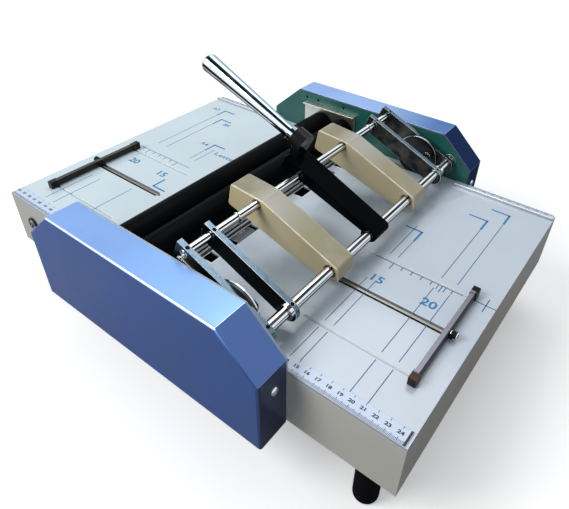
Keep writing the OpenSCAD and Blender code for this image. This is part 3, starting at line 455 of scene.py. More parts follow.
def cover_paint(name, p, node, dusk=None):
    """The covers' paint, with a painted highlight along the outer top edge; dusk is where painted shade
    starts to deepen the top
    """
    if dusk is None:
        f = metallic_paint(name, p.cover[:], p.cover_side[:], p.cover_deep[:])
    else:
        # Painted light and shade on the rear cover: a lighter top, slopes in deeper painted shade, and a
        # fade into painted shade along X
        slope = [c * REAR_SLOPE_SHADE for c in p.cover_deep]
        f = metallic_paint(name, REAR_TOP_LIGHT, p.cover_side[:], slope, DUSK_COAT)
        f.skin.inputs["Specular Tint"].default_value = DUSK_TINT
        fade = f.times(f.facing(UP, 0.9, 0.98), f.along("X", dusk, dusk + DUSK_FADE))
        f.colour(f.blend(fade, f.present_colour(), shade(p.cover, 0.60)))
    low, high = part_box(node)
    edge, inward = (low[1], 1) if high[1] < 0 else (high[1], -1)
    # Painted highlight: a pale line along the cover's outer top edge
    line = f.times(f.along("Y", *(edge + inward * gap for gap in HIGHLIGHT_IN)),
                   f.along("Z", *(high[2] - gap for gap in HIGHLIGHT_DOWN)))
    f.colour(f.blend(line, f.present_colour(), (*PAINTED_EDGE_HIGHLIGHT, 1)))
    return f.mat


def enamel(name, rgb, rough=0.38, spread=0.06, top_light_and_shade=None):
    """Sprayed enamel with fine specks; the last argument is the colour of the narrow faces on top, painted
    light and shade
    """
    f = Finish(name, rgb, rough, coat=0.12)
    patches = f.mottle(28, spread, 5)
    specks = f.ramp(f.noise(1500, 2), 0, 1, 0.66, 0.74)
    coloured = f.blend(specks, patches, shade(rgb, 0.72))
    if top_light_and_shade:
        coloured = f.blend(f.facing(ALONG_Y, 0.9, 0.6, both=True), coloured, shade(top_light_and_shade, 1))
    f.colour(coloured)
    f.uneven_gloss(60, rough - 0.08, rough + 0.1)
    f.relief(620, 0.00006, 3, 0.35)
    return f.mat


def stapler_enamel(name, rgb, top, sheen, rim):
    """Enamel with painted shade on its tops, deeper at the nose, and on its sides towards +X; a painted
    grey sheen in patches and at the bend of the top; and a pale line on its edges across Y, a painted
    highlight broken up in patches
    """
    f = Finish(name, rgb, 0.36, coat=0.12)
    # Painted shade on the sides towards +X and on the nose of the top, and a painted sheen at the bend and
    # in patches
    sides = f.blend(f.along("X", 0.03, 0.10), f.mottle(28, 0.05, 5), shade(rgb, 0.68))
    top_shade = f.blend(f.along("X", 0.022, 0.045), shade(top, 0.72), shade(top, 1))
    bend = f.times(f.along("X", 0.024, 0.047), f.along("X", 0.088, 0.056))
    sheen_mask = f.math("MAXIMUM", f.ramp(f.noise(30, 3), 0, 0.5, 0.45, 0.68), f.times(bend, 0.85))
    sheen_patches = f.blend(sheen_mask, top_shade, shade(sheen, 1))
    coloured = f.blend(f.facing((0.3, 0, 0.95), 0.55, 0.85), sides, sheen_patches)
    # Painted highlight along the edges across Y
    off = f.facing(ALONG_Y, 0.12, 0.34, both=True)
    near = f.facing(ALONG_Y, 0.92, 0.72, both=True)
    edges = f.times(f.times(off, near), f.ramp(f.noise(90, 4), 0.45, 1, 0.35, 0.55))
    f.colour(f.blend(edges, coloured, shade(rim, 1)))
    f.uneven_gloss(60, 0.28, 0.46)
    f.relief(620, 0.00006, 3, 0.35)
    return f.mat


def polished(name, rgb=(0.80, 0.82, 0.84), along=(1, 30, 1)):
    f = Finish(name, rgb, 0.1, metal=1.0)
    f.mottle(40, 0.06, 3, stretch=along)
    f.uneven_gloss(60, 0.05, 0.16, stretch=along)
    f.relief(160, 0.00001, 2, 0.15, stretch=along)
    return f.mat


# Painted reflections, as bands along polished bars: degrees round the bar, and a brightness or a colour
ROD_REFLECTIONS = (
    (-180, 0.35), (-60, 0.62), (-24, 0.30), (-6, 0.06), (9, 0.10), (12, 0.9), (23, 0.95), (27, 0.16),
    (30, 0.16), (34, 0.72), (51, 0.92), (56, 0.05), (79, 0.03), (84, 0.96), (118, 1.0), (126, 0.10),
    (146, 0.05), (180, 0.35),
)
HANDLE_REFLECTIONS = (
    (-180, 0.02), (-176, 0.02), (-173, 1.0), (-163, 0.9), (-160, 0.08), (-132, 0.04), (-100, 0.2),
    (30, 0.2), (48, 0.10), (66, 0.10), (71, (0.36, 0.50, 0.60)), (104, (0.42, 0.58, 0.66)),
    (109, (0.008, 0.016, 0.025)), (131, (0.006, 0.012, 0.018)), (136, 1.0), (166, 1.0), (171, 0.02),
    (180, 0.02),
)
TIE_REFLECTIONS_TURN = -13


def banded_chrome(name, bands, centre=None, tilt=0.0, axes="XZ", rough=0.12):
    """Polished round bar with painted reflections: the dark and bright bands that run along it"""
    f = Finish(name, (0.8, 0.8, 0.8), rough, metal=1.0)
    wander = f.ramp(f.noise(14, 2), -0.006, 0.006, 0, 1)
    turn = f.math("ADD", f.turn_about(centre, tilt, axes), wander)
    scuffs = f.ramp(f.noise(60, 4, stretch=(1, 0.2, 1)), 0, 0.22, 0.55, 0.8)
    banded = f.blend(scuffs, f.bands(turn, bands), (0.42, 0.44, 0.46, 1))
    # Painted grey reflection on the faces turned along Y, for bars with no centre given
    if centre is None:
        banded = f.blend(f.facing(ALONG_Y, 0.8, 0.95, both=True), banded, (0.36, 0.38, 0.40, 1))
    f.colour(banded)
    f.uneven_gloss(60, rough - 0.05, rough + 0.07)
    f.relief(160, 0.00001, 2, 0.12)
    return f.mat


def blackened(name, rgb, rough=0.3, gloss=0.2):
    """Black finish that takes few reflections"""
    f = Finish(name, rgb, rough)
    f.skin.inputs["Specular IOR Level"].default_value = gloss
    f.skin.inputs["IOR"].default_value = 1.3
    patches = f.mottle(28, 0.35, 5)
    dust = f.ramp(f.noise(900, 3), 0, 0.5, 0.68, 0.78)
    f.colour(f.blend(dust, patches, (0.009, 0.010, 0.012, 1)))
    f.uneven_gloss(40, rough - 0.08, rough + 0.12)
    f.relief(700, 0.00004, 3, 0.25)
    return f.mat


def flat_bar_steel(name, rgb, dark, turn):
    """Ground narrow faces on a bar whose broad sides are painted dark as shade, with painted bronze
    highlights in patches on the rear bars
    """
    f = Finish(name, rgb, 0.3, metal=1.0)
    streaks = f.mottle(26, 0.22, 5, turn=turn, stretch=(2, 30, 60))
    clouds = f.ramp(f.noise(120, 5, stretch=(1, 1.6, 1)), 0, 0.8, 0.5, 0.7)
    ground = f.blend(clouds, streaks, shade(rgb, 0.55))
    # Painted shade on the broad sides, with painted bronze highlights in patches towards the rear
    broad = f.facing(ALONG_Y, 0.5, 0.8, both=True)
    sheen_patches = f.ramp(f.noise(70, 5), 0, 1, 0.4, 0.7)
    bronze_highlight = f.blend(sheen_patches, shade(dark, 2.6), (0.15, 0.145, 0.12, 1))
    black = f.blend(f.along("Y", 0.02, 0.10), shade(dark, 1), bronze_highlight)
    f.colour(f.blend(broad, ground, black))
    f.roughness(f.ramp(broad, 0.26, 0.42, 0, 1))
    f.relief(60, 0.00002, 3, 0.3, turn=turn, stretch=(2, 60, 60))
    return f.mat


def brushed(name, rgb, turn=(0, 0, 0), stretch=(2, 60, 60), low=0.26, high=0.44):
    f = Finish(name, rgb, low, metal=1.0)
    streaks = f.mottle(30, 0.16, 5, turn=turn, stretch=stretch)
    stains = f.ramp(f.noise(16, 4), 0, 1, 0.5, 0.75)
    f.colour(f.blend(stains, streaks, shade(rgb, 0.72)))
    f.uneven_gloss(40, low, high, turn=turn, stretch=stretch)
    f.relief(60, 0.00002, 3, 0.3, turn=turn, stretch=stretch)
    return f.mat


def rubber(name, rgb, rough=0.5):
    f = Finish(name, rgb, rough)
    f.skin.inputs["Specular IOR Level"].default_value = 0.04
    f.skin.inputs["IOR"].default_value = 1.3
    f.mottle(24, 0.3, 4, stretch=(1, 0.35, 1))
    f.uneven_gloss(20, rough - 0.12, rough + 0.12, stretch=(1, 0.5, 1))
    waves = f.relief(34, 0.0008, 2, 0.5, stretch=(1, 0.5, 1))
    grain = f.add("ShaderNodeBump")
    grain.inputs["Strength"].default_value = 0.25
    grain.inputs["Distance"].default_value = 0.00008
    f.link(f.noise(900, 3), grain.inputs["Height"])
    f.link(waves.outputs["Normal"], grain.inputs["Normal"])
    f.link(grain.outputs["Normal"], f.skin.inputs["Normal"])
    return f.mat


def stop_bar_finish(name, top, side, near, far, node):
    """Steel bar with painted shade on its sides and on the right bar's outer strip, and a cap of another
    colour on each end
    """
    f = Finish(name, top, 0.34, metal=1.0)
    low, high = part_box(node)
    streaks = f.mottle(60, 0.2, 4, stretch=(1, 0.1, 1))
    # Painted shade on the faces that do not face up, and on the right bar's outer strip
    bar = f.blend(f.facing(UP, 0.5, 0.8), shade(side, 1), streaks)
    bar = f.blend(f.along("X", *STOP_SHADE), bar, shade(side, 0.6))
    bar = f.blend(f.along("Y", *(low[1] + gap for gap in NEAR_CAP)), bar, shade(near, 1))
    f.colour(f.blend(f.along("Y", *(high[1] - gap for gap in FAR_CAP)), bar, shade(far, 1)))
    f.uneven_gloss(40, 0.28, 0.46)
    f.relief(60, 0.00002, 3, 0.3, stretch=(60, 2, 60))
    return f.mat


def ring_plug(name, centre):
    """Black ring and screw, with a pale floor between them and a painted highlight as a pale dot in the
    middle
    """
    f = Finish(name, (0.006, 0.006, 0.007), 0.4)
    away = f.around(centre)
    outside_screw = f.ramp(away, 0, 1, SCREW_EDGE - PLUG_FADE, SCREW_EDGE + PLUG_FADE)
    inside_ring = f.ramp(away, 1, 0, RING_EDGE - PLUG_FADE, RING_EDGE + PLUG_FADE)
    dot = f.ramp(away, 1, 0, DOT_EDGE - PLUG_FADE, DOT_EDGE + PLUG_FADE)
    pale = f.math("ADD", f.times(outside_screw, inside_ring), dot)
    f.colour(f.blend(pale, f.mottle(60, 0.3, 3), (0.80, 0.80, 0.78, 1)))
    f.uneven_gloss(60, 0.3, 0.5)
    f.relief(500, 0.00004, 3, 0.25)
    return f.mat


def print_ink(name, rgb):
    f = Finish(name, rgb, 0.45)
    f.mottle(400, 0.18, 3)
    f.uneven_gloss(500, 0.4, 0.6)
    return f.mat


def disc_steel(name, centre, radius, half):
    """Dark disc whose round side is polished, with a painted highlight, up to the height half across Y"""
    f = Finish(name, (0.05, 0.055, 0.06), 0.3, metal=1.0)
    side = f.ramp(f.around(centre), 0, 1, radius - 0.0006, radius - 0.0003)
    inner = f.ramp(f.math("ABSOLUTE", f.coordinate("Y")), 1, 0, half - 0.0002, half + 0.0002)
    rim = f.times(side, inner)
    f.colour(f.blend(rim, f.mottle(50, 0.3, 4), (0.75, 0.78, 0.80, 1)))
    f.roughness(f.ramp(rim, 0.34, 0.12, 0, 1))
    f.relief(300, 0.00002, 3, 0.2)
    return f.mat


def dress(mat, *names):
    """Gives CAD nodes their finish"""
    for name in names:
        mesh = NODES[name].data
        mesh.materials.clear()
        mesh.materials.append(mat)


def linked(name, data):
    """A new object in the scene"""
    obj = bpy.data.objects.new(name, data)
    bpy.context.scene.collection.objects.link(obj)
    return obj


def mesh_from(name, bm):
    """A new mesh with the faces of a bmesh, which is freed"""
    mesh = bpy.data.meshes.new(name)
    bm.to_mesh(mesh)
    bm.free()
    return mesh


def plain_mesh(obj):
    """A copy of the object's mesh with its modifiers applied"""
    return bpy.data.meshes.new_from_object(obj.evaluated_get(bpy.context.evaluated_depsgraph_get()))


def evaluated(obj):
    """The object's mesh with its modifiers applied, which are then removed"""
    mesh = plain_mesh(obj)
    obj.modifiers.clear()
    return mesh


def merged_copy(node):
    """A CAD node's mesh with its loose triangles joined into clean faces"""
    bm = bmesh.new()
    bm.from_mesh(NODES[node].data)
    bmesh.ops.remove_doubles(bm, verts=bm.verts, dist=WELD)
    bmesh.ops.dissolve_limit(bm, angle_limit=math.radians(FLAT), verts=bm.verts, edges=bm.edges)
    return bm


def hone(mat, *names, edge=None, width=0.35, sharp=40.0):
    """Pieces that stand for CAD nodes, smooth, with edges over sharp degrees rounded by width in mm"""
    for node in names:
        mesh = mesh_from(node + "_honed", merged_copy(node))
        if "custom_normal" in mesh.attributes:
            mesh.attributes.remove(mesh.attributes["custom_normal"])
        mesh.materials.clear()
        for skin in (mat, edge or mat):
            mesh.materials.append(skin)
        mesh.polygons.foreach_set("material_index", [0] * len(mesh.polygons))
        obj = linked(node + "_honed", mesh)
        soften = obj.modifiers.new("soften", "BEVEL")
        soften.limit_method = "ANGLE"
        soften.angle_limit = math.radians(sharp)
        soften.width = width * MM
        soften.segments = 2
        soften.material = 1
        obj.data = evaluated(obj)
        obj.data.shade_smooth()
        obj.data.set_sharp_from_angle(angle=math.radians(CREASE))
        even = obj.modifiers.new("even", "WEIGHTED_NORMAL")
        even.keep_sharp = True
        obj.data = evaluated(obj)
        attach(obj, NODES[node]["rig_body"])
        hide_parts(node)


def add_mesh(name, bm, mat, body):
    """Turns a bmesh into a piece that rides on a body"""
    obj = linked(name, mesh_from(name, bm))
    obj.data.materials.append(mat)
    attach(obj, body)
    return obj


def put_line(bm, a, b, width, z, film):
    """A flat printed line from a to b, given as X and Y"""
    a, b = Vector(a), Vector(b)
    run = b - a
    across = Vector((-run.y, run.x)).normalized() * width / 2
    low = [Vector((*(p + s * across), z)) for p, s in ((a, -1), (b, -1), (b, 1), (a, 1))]
    verts = [bm.verts.new(p) for p in low] + [bm.verts.new(p + Vector((0, 0, film))) for p in low]
    for quad in ((3, 2, 1, 0), (4, 5, 6, 7), (0, 1, 5, 4), (1, 2, 6, 5), (2, 3, 7, 6), (3, 0, 4, 7)):
        bm.faces.new([verts[i] for i in quad])


def put_text(bm, words, x, y, z, height, film, bold, stretch):
    """Adds raised print, centred on X and Y"""
    curve = bpy.data.curves.new("words", "FONT")
    curve.body = words
    curve.size = height / DIGIT_SHARE
    curve.align_x = "CENTER"
    curve.align_y = "CENTER"
    curve.extrude = film / 2
    curve.offset = bold
    curve.resolution_u = 3
    obj = linked("words", curve)
    mesh = plain_mesh(obj)
    mesh.transform(Matrix.Translation((x, y, z + film / 2)) @ Matrix.Diagonal((stretch, 1, 1, 1)))
    bm.from_mesh(mesh)
    bpy.data.objects.remove(obj)
    bpy.data.curves.remove(curve)
    bpy.data.meshes.remove(mesh)


def tick_tree():
    """Geometry nodes that set a row of equal bars along X"""
    tree = bpy.data.node_groups.new("ruler_ticks", "GeometryNodeTree")
    for label, kind in (("Start", "NodeSocketVector"), ("Pitch", "NodeSocketFloat"),
                        ("Count", "NodeSocketInt"), ("Bar", "NodeSocketVector"),
                        ("Ink", "NodeSocketMaterial")):
        tree.interface.new_socket(name=label, in_out="INPUT", socket_type=kind)
    tree.interface.new_socket(name="Ticks", in_out="OUTPUT", socket_type="NodeSocketGeometry")
    ins = tree.nodes.new("NodeGroupInput")
    outs = tree.nodes.new("NodeGroupOutput")
    row = tree.nodes.new("GeometryNodeMeshLine")
    step = tree.nodes.new("ShaderNodeCombineXYZ")
    bar = tree.nodes.new("GeometryNodeMeshCube")
    copies = tree.nodes.new("GeometryNodeInstanceOnPoints")
    real = tree.nodes.new("GeometryNodeRealizeInstances")
    coat = tree.nodes.new("GeometryNodeSetMaterial")
    for a, b in ((ins.outputs["Start"], row.inputs["Start Location"]),
                 (ins.outputs["Count"], row.inputs["Count"]),
                 (ins.outputs["Pitch"], step.inputs["X"]),
                 (step.outputs["Vector"], row.inputs["Offset"]),
                 (ins.outputs["Bar"], bar.inputs["Size"]),
                 (row.outputs["Mesh"], copies.inputs["Points"]),
                 (bar.outputs["Mesh"], copies.inputs["Instance"]),
                 (copies.outputs["Instances"], real.inputs["Geometry"]),
                 (real.outputs["Geometry"], coat.inputs["Geometry"]),
                 (ins.outputs["Ink"], coat.inputs["Material"]),
                 (coat.outputs["Geometry"], outs.inputs["Ticks"])):
        tree.links.new(a, b)
    return tree


def grown(name, tree, values):
    """Runs a node tree on an empty mesh and returns the mesh that it makes"""
    obj = linked(name, bpy.data.meshes.new(name))
    mod = obj.modifiers.new("make", "NODES")
    mod.node_group = tree
    for item in tree.interface.items_tree:
        if item.item_type == "SOCKET" and item.in_out == "INPUT" and item.name in values:
            mod[item.identifier] = values[item.name]
    mesh = plain_mesh(obj)
    if not mesh.vertices:
        raise RuntimeError(name + " came out empty")
    bpy.data.objects.remove(obj)
    return mesh


class BOOKLET_OT_stage(bpy.types.Operator):
    """Sets the floor, the sky, the lamps and the camera"""
    bl_idname = "booklet.stage"
    bl_label = "Stage"

    def execute(self, context):
        s = context.scene.booklet_stage
        self.floor(s)
        self.surround(context.scene)
        self.lamp("key_lamp", KEY_PLACE, KEY_WIDTH, s.key)
        self.lamp("top_lamp", TOP_PLACE, TOP_WIDTH, s.top)
        self.camera(context.scene, s.lens)
        context.scene.view_settings.view_transform = "Standard"
        return {"FINISHED"}

    def floor(self, s):
        bm = bmesh.new()
        bmesh.ops.create_grid(bm, x_segments=1, y_segments=1, size=FLOOR_REACH)
        obj = linked("floor", mesh_from("floor", bm))
        f = Finish("floor_paper", s.floor[:], 0.9)
        seen = f.add("ShaderNodeLightPath").outputs["Is Camera Ray"]
        f.colour(f.blend(seen, FLOOR_BOUNCE, (*s.floor, 1)))
        f.skin.inputs["Emission Color"].default_value = (1, 1, 1, 1)
        away = f.vector_math("LENGTH", f.place).outputs["Value"]
        glow = f.times(seen, f.ramp(away, *GLOW, *GLOW_PLACE))
        f.link(glow, f.skin.inputs["Emission Strength"])
        obj.data.materials.append(f.mat)

    def surround(self, scene):
        world = bpy.data.worlds.new("studio")
        world.use_nodes = True
        tree = world.node_tree
        tree.nodes.clear()
        out = tree.nodes.new("ShaderNodeOutputWorld")
        sky = tree.nodes.new("ShaderNodeBackground")
        sky.inputs["Color"].default_value = SKY
        rays = tree.nodes.new("ShaderNodeLightPath")
        seen = tree.nodes.new("ShaderNodeMath")
        seen.operation = "MAXIMUM"
        both = tree.nodes.new("ShaderNodeMath")
        both.operation = "MAXIMUM"
        level = tree.nodes.new("ShaderNodeMapRange")
        level.inputs["To Min"].default_value = SKY_DIM
        level.inputs["To Max"].default_value = 1.0
        for a, b in ((rays.outputs["Is Camera Ray"], seen.inputs[0]),
                     (rays.outputs["Is Glossy Ray"], seen.inputs[1]),
                     (seen.outputs[0], both.inputs[0]),
                     (rays.outputs["Is Transmission Ray"], both.inputs[1]),
                     (both.outputs[0], level.inputs["Value"]),
                     (level.outputs["Result"], sky.inputs["Strength"]),
                     (sky.outputs["Background"], out.inputs["Surface"])):
            tree.links.new(a, b)
        scene.world = world

    def lamp(self, name, place, size, power):
        data = bpy.data.lights.new(name, "AREA")
        data.shape = "DISK"
        data.size = size
        data.energy = power
        obj = linked(name, data)
        obj.location = place
        obj.rotation_euler = (Vector(LAMP_AIM) - Vector(place)).to_track_quat("-Z", "Y").to_euler()

    def camera(self, scene, lens):
        data = bpy.data.cameras.new("camera")
        data.lens = lens
        data.sensor_width = 36
        data.shift_x, data.shift_y = CAMERA_SHIFT
        data.clip_start = 0.01
        data.dof.use_dof = False
        obj = linked("camera", data)
        obj.location = CAMERA_PLACE
        obj.rotation_euler = [math.radians(angle) for angle in CAMERA_TURN]
        scene.camera = obj


class BOOKLET_OT_body(bpy.types.Operator):
    """Finishes of the body, the tables, the covers and the feet"""
    bl_idname = "booklet.body"
    bl_label = "Body, tables and covers"

    def execute(self, context):
        p = look()
        hone(sheet_paint("body_paint", p.body[:], 0.36, 0.05, 0.15), "housing", width=0.5)
        dress(sheet_paint("underside_paint", (0.16, 0.165, 0.17), 0.5), "bottom_plate")
        # Painted highlight: the tables' bevelled edges take a paler paint
        rim = sheet_paint("table_edge_highlight", (0.80, 0.84, 0.88), 0.2, 0.03, 0.5)
        # Painted light: the left table takes a lighter copy of the same table paint
        for node, tint in (("right_table", (1.0, 1.0, 1.0)), ("left_table", (1.08, 1.12, 1.07))):
            rgb = [c * k for c, k in zip(p.table, tint)]
            hone(table_paint(node + "_gloss", rgb, shade(rgb, 0.70)), node, width=0.3, edge=rim)
        # Painted highlight: bright steel on the guide plate's bevelled lip
        hone(blackened("guide_plate_black", (0.02, 0.021, 0.024), 0.4), "guide_plate",
             edge=brushed("lip_highlight_steel", (0.75, 0.79, 0.83)))
        # Painted highlight on the covers' bevelled edges: a pale copy of their paint, with its own painted
        # shade on sides and slopes
        rim = metallic_paint("cover_edge_highlight", PAINTED_EDGE_HIGHLIGHT, (0.62, 0.74, 0.96), (0.30, 0.40, 0.62)).mat
        for node, dusk in (("front_cover", None), ("rear_cover", DUSK_START)):
            hone(cover_paint(node + "_blue", p, node, dusk), node, width=0.6, edge=rim)
        # Painted light and shade on the side plates' narrow faces and bevelled edges: pale as a highlight
        # on the front plate, near black as shade on the rear
        for node, top_light_and_shade in (("front_side_plate", (0.34, 0.42, 0.50)),
                            ("rear_side_plate", (0.006, 0.02, 0.02))):
            green = enamel(node + "_green", p.plate[:], 0.4, 0.12, top_light_and_shade)
            hone(green, node, edge=enamel(node + "_edge", top_light_and_shade, 0.35, 0.1))
        hone(brushed("bracket_zinc", (0.62, 0.61, 0.55), stretch=(30, 2, 30)), "roller_brackets")
        bright = brushed("anvil_edge_steel", (0.86, 0.90, 0.94), stretch=(60, 2, 60))
        hone(brushed("anvil_dark_steel", (0.16, 0.17, 0.19), stretch=(60, 2, 60)), "anvil_bar", "anvils",
             edge=bright, width=0.3)
        hone(brushed("fence_steel", (0.55, 0.58, 0.62), stretch=(60, 2, 60)), "rear_fences", edge=bright)
        hone(rubber("foot_rubber", (0.005, 0.005, 0.006), 0.55), "feet")
        hone(sheet_paint("ruler_film", p.ruler[:], 0.25, 0.02, 0.4), "rulers", width=0.12)
        hone(brushed("bush_steel", (0.60, 0.60, 0.58), stretch=(4, 40, 4)), "shaft_bushes")
        return {"FINISHED"}


class BOOKLET_OT_cover_screws(bpy.types.Operator):
    """Domed screws with cross recesses at the ends of both covers"""
    bl_idname = "booklet.cover_screws"
    bl_label = "Cover screws"

    def execute(self, context):
        head = self.head()
        cross = self.cross()
        cut = head.modifiers.new("recess", "BOOLEAN")
        cut.operation = "DIFFERENCE"
        cut.solver = "EXACT"
        cut.object = cross
        mesh = evaluated(head)
        bm = bmesh.new()
        for cover, plate, out in (("front_cover", "front_side_plate", -1),
                                  ("rear_cover", "rear_side_plate", 1)):
            low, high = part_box(cover)
            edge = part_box(plate)[0 if out < 0 else 1][1]
            for x, turn in ((low[0], -90), (high[0], 90)):
                part = mesh.copy()
                place = Matrix.Translation((x, edge + out * SCREW_OUT, TABLE_Z - SCREW_BELOW_TABLE))
                outwards = Matrix.Rotation(math.radians(turn), 4, "Y")
                part.transform(place @ outwards @ Matrix.Rotation(RECESS_TURN * turn, 4, "Z"))
                bm.from_mesh(part)
                bpy.data.meshes.remove(part)
        for spare in (head, cross):
            bpy.data.objects.remove(spare)
        bmesh.ops.recalc_face_normals(bm, faces=bm.faces)
        zinc = polished("screw_zinc", (0.72, 0.74, 0.76), (1, 1, 1))
        obj = add_mesh("cover_screw_heads", bm, zinc, "base")
        obj.data.shade_smooth()
        obj.data.set_sharp_from_angle(angle=math.radians(HEAD_CREASE))
        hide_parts("panel_screws")
        return {"FINISHED"}

    def head(self):
        """Domed head with a short shank, closed"""
        bm = bmesh.new()
        rim = [(SHANK_RADIUS, -SHANK_DEPTH), (SHANK_RADIUS, 0), (HEAD_RADIUS, 0)]
        rim += [(HEAD_RADIUS * math.cos(a), HEAD_RISE * math.sin(a)) for a in (0.3, 0.6, 0.9, 1.2, 1.4)]
        angles = [k * math.tau / HEAD_SIDES for k in range(HEAD_SIDES)]
        rings = [[bm.verts.new((r * math.cos(a), r * math.sin(a), z)) for a in angles] for r, z in rim]
        for a, b in zip(rings, rings[1:]):
            self.wall(bm, a, b)
        bm.faces.new(reversed(rings[0]))
        bm.faces.new(rings[-1])
        return linked("screw_head", mesh_from("screw_head", bm))

    def cross(self):
        """The cross that is cut out of a head, closed"""
        bm = bmesh.new()
        arm = ((RECESS_REACH, -RECESS_HALF), (RECESS_REACH, RECESS_HALF), (RECESS_HALF, RECESS_HALF))
        quarters = ((1, 0), (0, 1), (-1, 0), (0, -1))
        side = [(x * c - y * s, x * s + y * c) for c, s in quarters for x, y in arm]
        floor = [bm.verts.new((x, y, RECESS_FLOOR)) for x, y in side]
        roof = [bm.verts.new((x, y, RECESS_ROOF)) for x, y in side]
        bm.faces.new(reversed(floor))
        bm.faces.new(roof)
        self.wall(bm, floor, roof)
        return linked("screw_cross", mesh_from("screw_cross", bm))

    def wall(self, bm, low, high):
        """Faces between two rings of as many points"""
        for k in range(len(low)):
            after = (k + 1) % len(low)
            bm.faces.new((low[k], low[after], high[after], high[k]))


class BOOKLET_OT_frame(bpy.types.Operator):
    """Finishes of the swing frame, its rods, bars, discs and lever"""
    bl_idname = "booklet.frame"
    bl_label = "Swing frame and lever"

    def execute(self, context):
        p = look()
        tilt = (0, -FRAME_TILT, 0)
        # Painted highlight: the bars' bevelled edges are bright steel
        bright = brushed("edge_highlight_steel", (0.80, 0.86, 0.92), turn=tilt)
        bar = flat_bar_steel("bar_steel", (0.13, 0.19, 0.24), (0.010, 0.012, 0.014), tilt)
        hone(bar, "outer_bars", "inner_bars", edge=bright, width=0.45)
        # Painted reflections on the rods, the handle, its nut, the rings and the strap bolts
        for name, turn in (("pivot_rod", 0), ("tie_rod", TIE_REFLECTIONS_TURN)):
            low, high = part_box(name)
            bands = [(degrees + turn * (abs(degrees) < 180), level) for degrees, level in ROD_REFLECTIONS]
            hone(banded_chrome(name + "_chrome", bands, (low + high) / 2), name)
        for name in ("handle", "handle_nut"):
            hone(banded_chrome(name + "_chrome", HANDLE_REFLECTIONS, HANDLE_AXIS, -FRAME_TILT, "YZ", 0.1), name)
        hone(banded_chrome("ring_chrome", ROD_REFLECTIONS), "rod_rings", "strap_bolts", width=0.25)
        hone(brushed("strap_steel", (0.30, 0.29, 0.25), turn=tilt), "bar_straps", edge=bright)
        dress(polished("bolt_chrome", along=(1, 1, 1)), "foot_screws")
        black = blackened("lever_black", p.lever[:], 0.24, 0.04)
        # The lever's paler bevelled edges are worn paint and a painted highlight
        hone(black, "lever_arm", sharp=50.0, width=0.7,
             edge=blackened("lever_edge", (0.17, 0.175, 0.18), 0.3, 0.5))
        # Painted highlight: the socket's bevelled rim is bright steel
        hone(blackened("socket_black", (0.005, 0.005, 0.0055), 0.2, 0.3), "handle_socket",
             sharp=50.0, width=0.6, edge=polished("socket_edge_highlight", (0.75, 0.77, 0.78), (1, 1, 1)))
        hone(blackened("screw_black", (0.006, 0.006, 0.007), 0.35), "set_screws", width=0.2)
        # Painted highlight: the disc bolts' bevelled rims are bright steel
        hone(blackened("bolt_black", (0.008, 0.008, 0.008), 0.35), "disc_bolts", width=0.3,
             edge=polished("bolt_edge_highlight", (0.6, 0.62, 0.64), (1, 1, 1)))
        low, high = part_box("cam_discs")
        centre = ((low[0] + high[0]) / 2, 0, (low[2] + high[2]) / 2)
        radius = (high[0] - low[0]) / 2
        hone(disc_steel("cam_disc_steel", centre, radius, high[1] - DISC_DARK), "cam_discs")
        return {"FINISHED"}


class BOOKLET_OT_staplers(bpy.types.Operator):
    """Finishes of the two staplers"""
    bl_idname = "booklet.staplers"
    bl_label = "Staplers"

    def execute(self, context):
        p = look()
        # The sheen and the pale rim are painted highlights
        skin = stapler_enamel("stapler_enamel", p.stapler[:], p.stapler_top[:],
                              sheen=(0.50, 0.49, 0.44), rim=(0.86, 0.82, 0.68))
        hone(skin, "front_stapler", "rear_stapler", sharp=60.0, width=0.3)
        hone(brushed("magazine_steel", (0.60, 0.62, 0.64), turn=(0, math.radians(MAGAZINE_LEAN), 0)),
             "front_magazine", "rear_magazine", width=0.15)
        dress(enamel("pusher_black", (0.02, 0.02, 0.022)), "front_pusher", "rear_pusher")
        return {"FINISHED"}


class BOOKLET_OT_rollers(bpy.types.Operator):
    """Finishes of the fold rollers and the drive"""
    bl_idname = "booklet.rollers"
    bl_label = "Rollers and drive"

    def execute(self, context):
        hone(rubber("roller_rubber", (0.0016, 0.0024, 0.0030), 0.38), "left_roller", "right_roller",
             width=0.8)
        hone(polished("roller_shaft_chrome"), "left_roller_shaft", "right_roller_shaft")
        dress(polished("guide_post_chrome"), "knife_guides")
        dress(brushed("gear_steel", (0.42, 0.43, 0.45), stretch=(4, 4, 4)),
              "left_roller_gear", "right_roller_gear", "clutch_gear", "drive_sector", "crank_arms",
              "connecting_bars", "lift_shaft", "lift_arms", "balance_springs")
        hone(brushed("knife_steel", (0.55, 0.57, 0.60), stretch=(60, 2, 60)), "fold_knife",
             "knife_carrier", width=0.2)
        return {"FINISHED"}


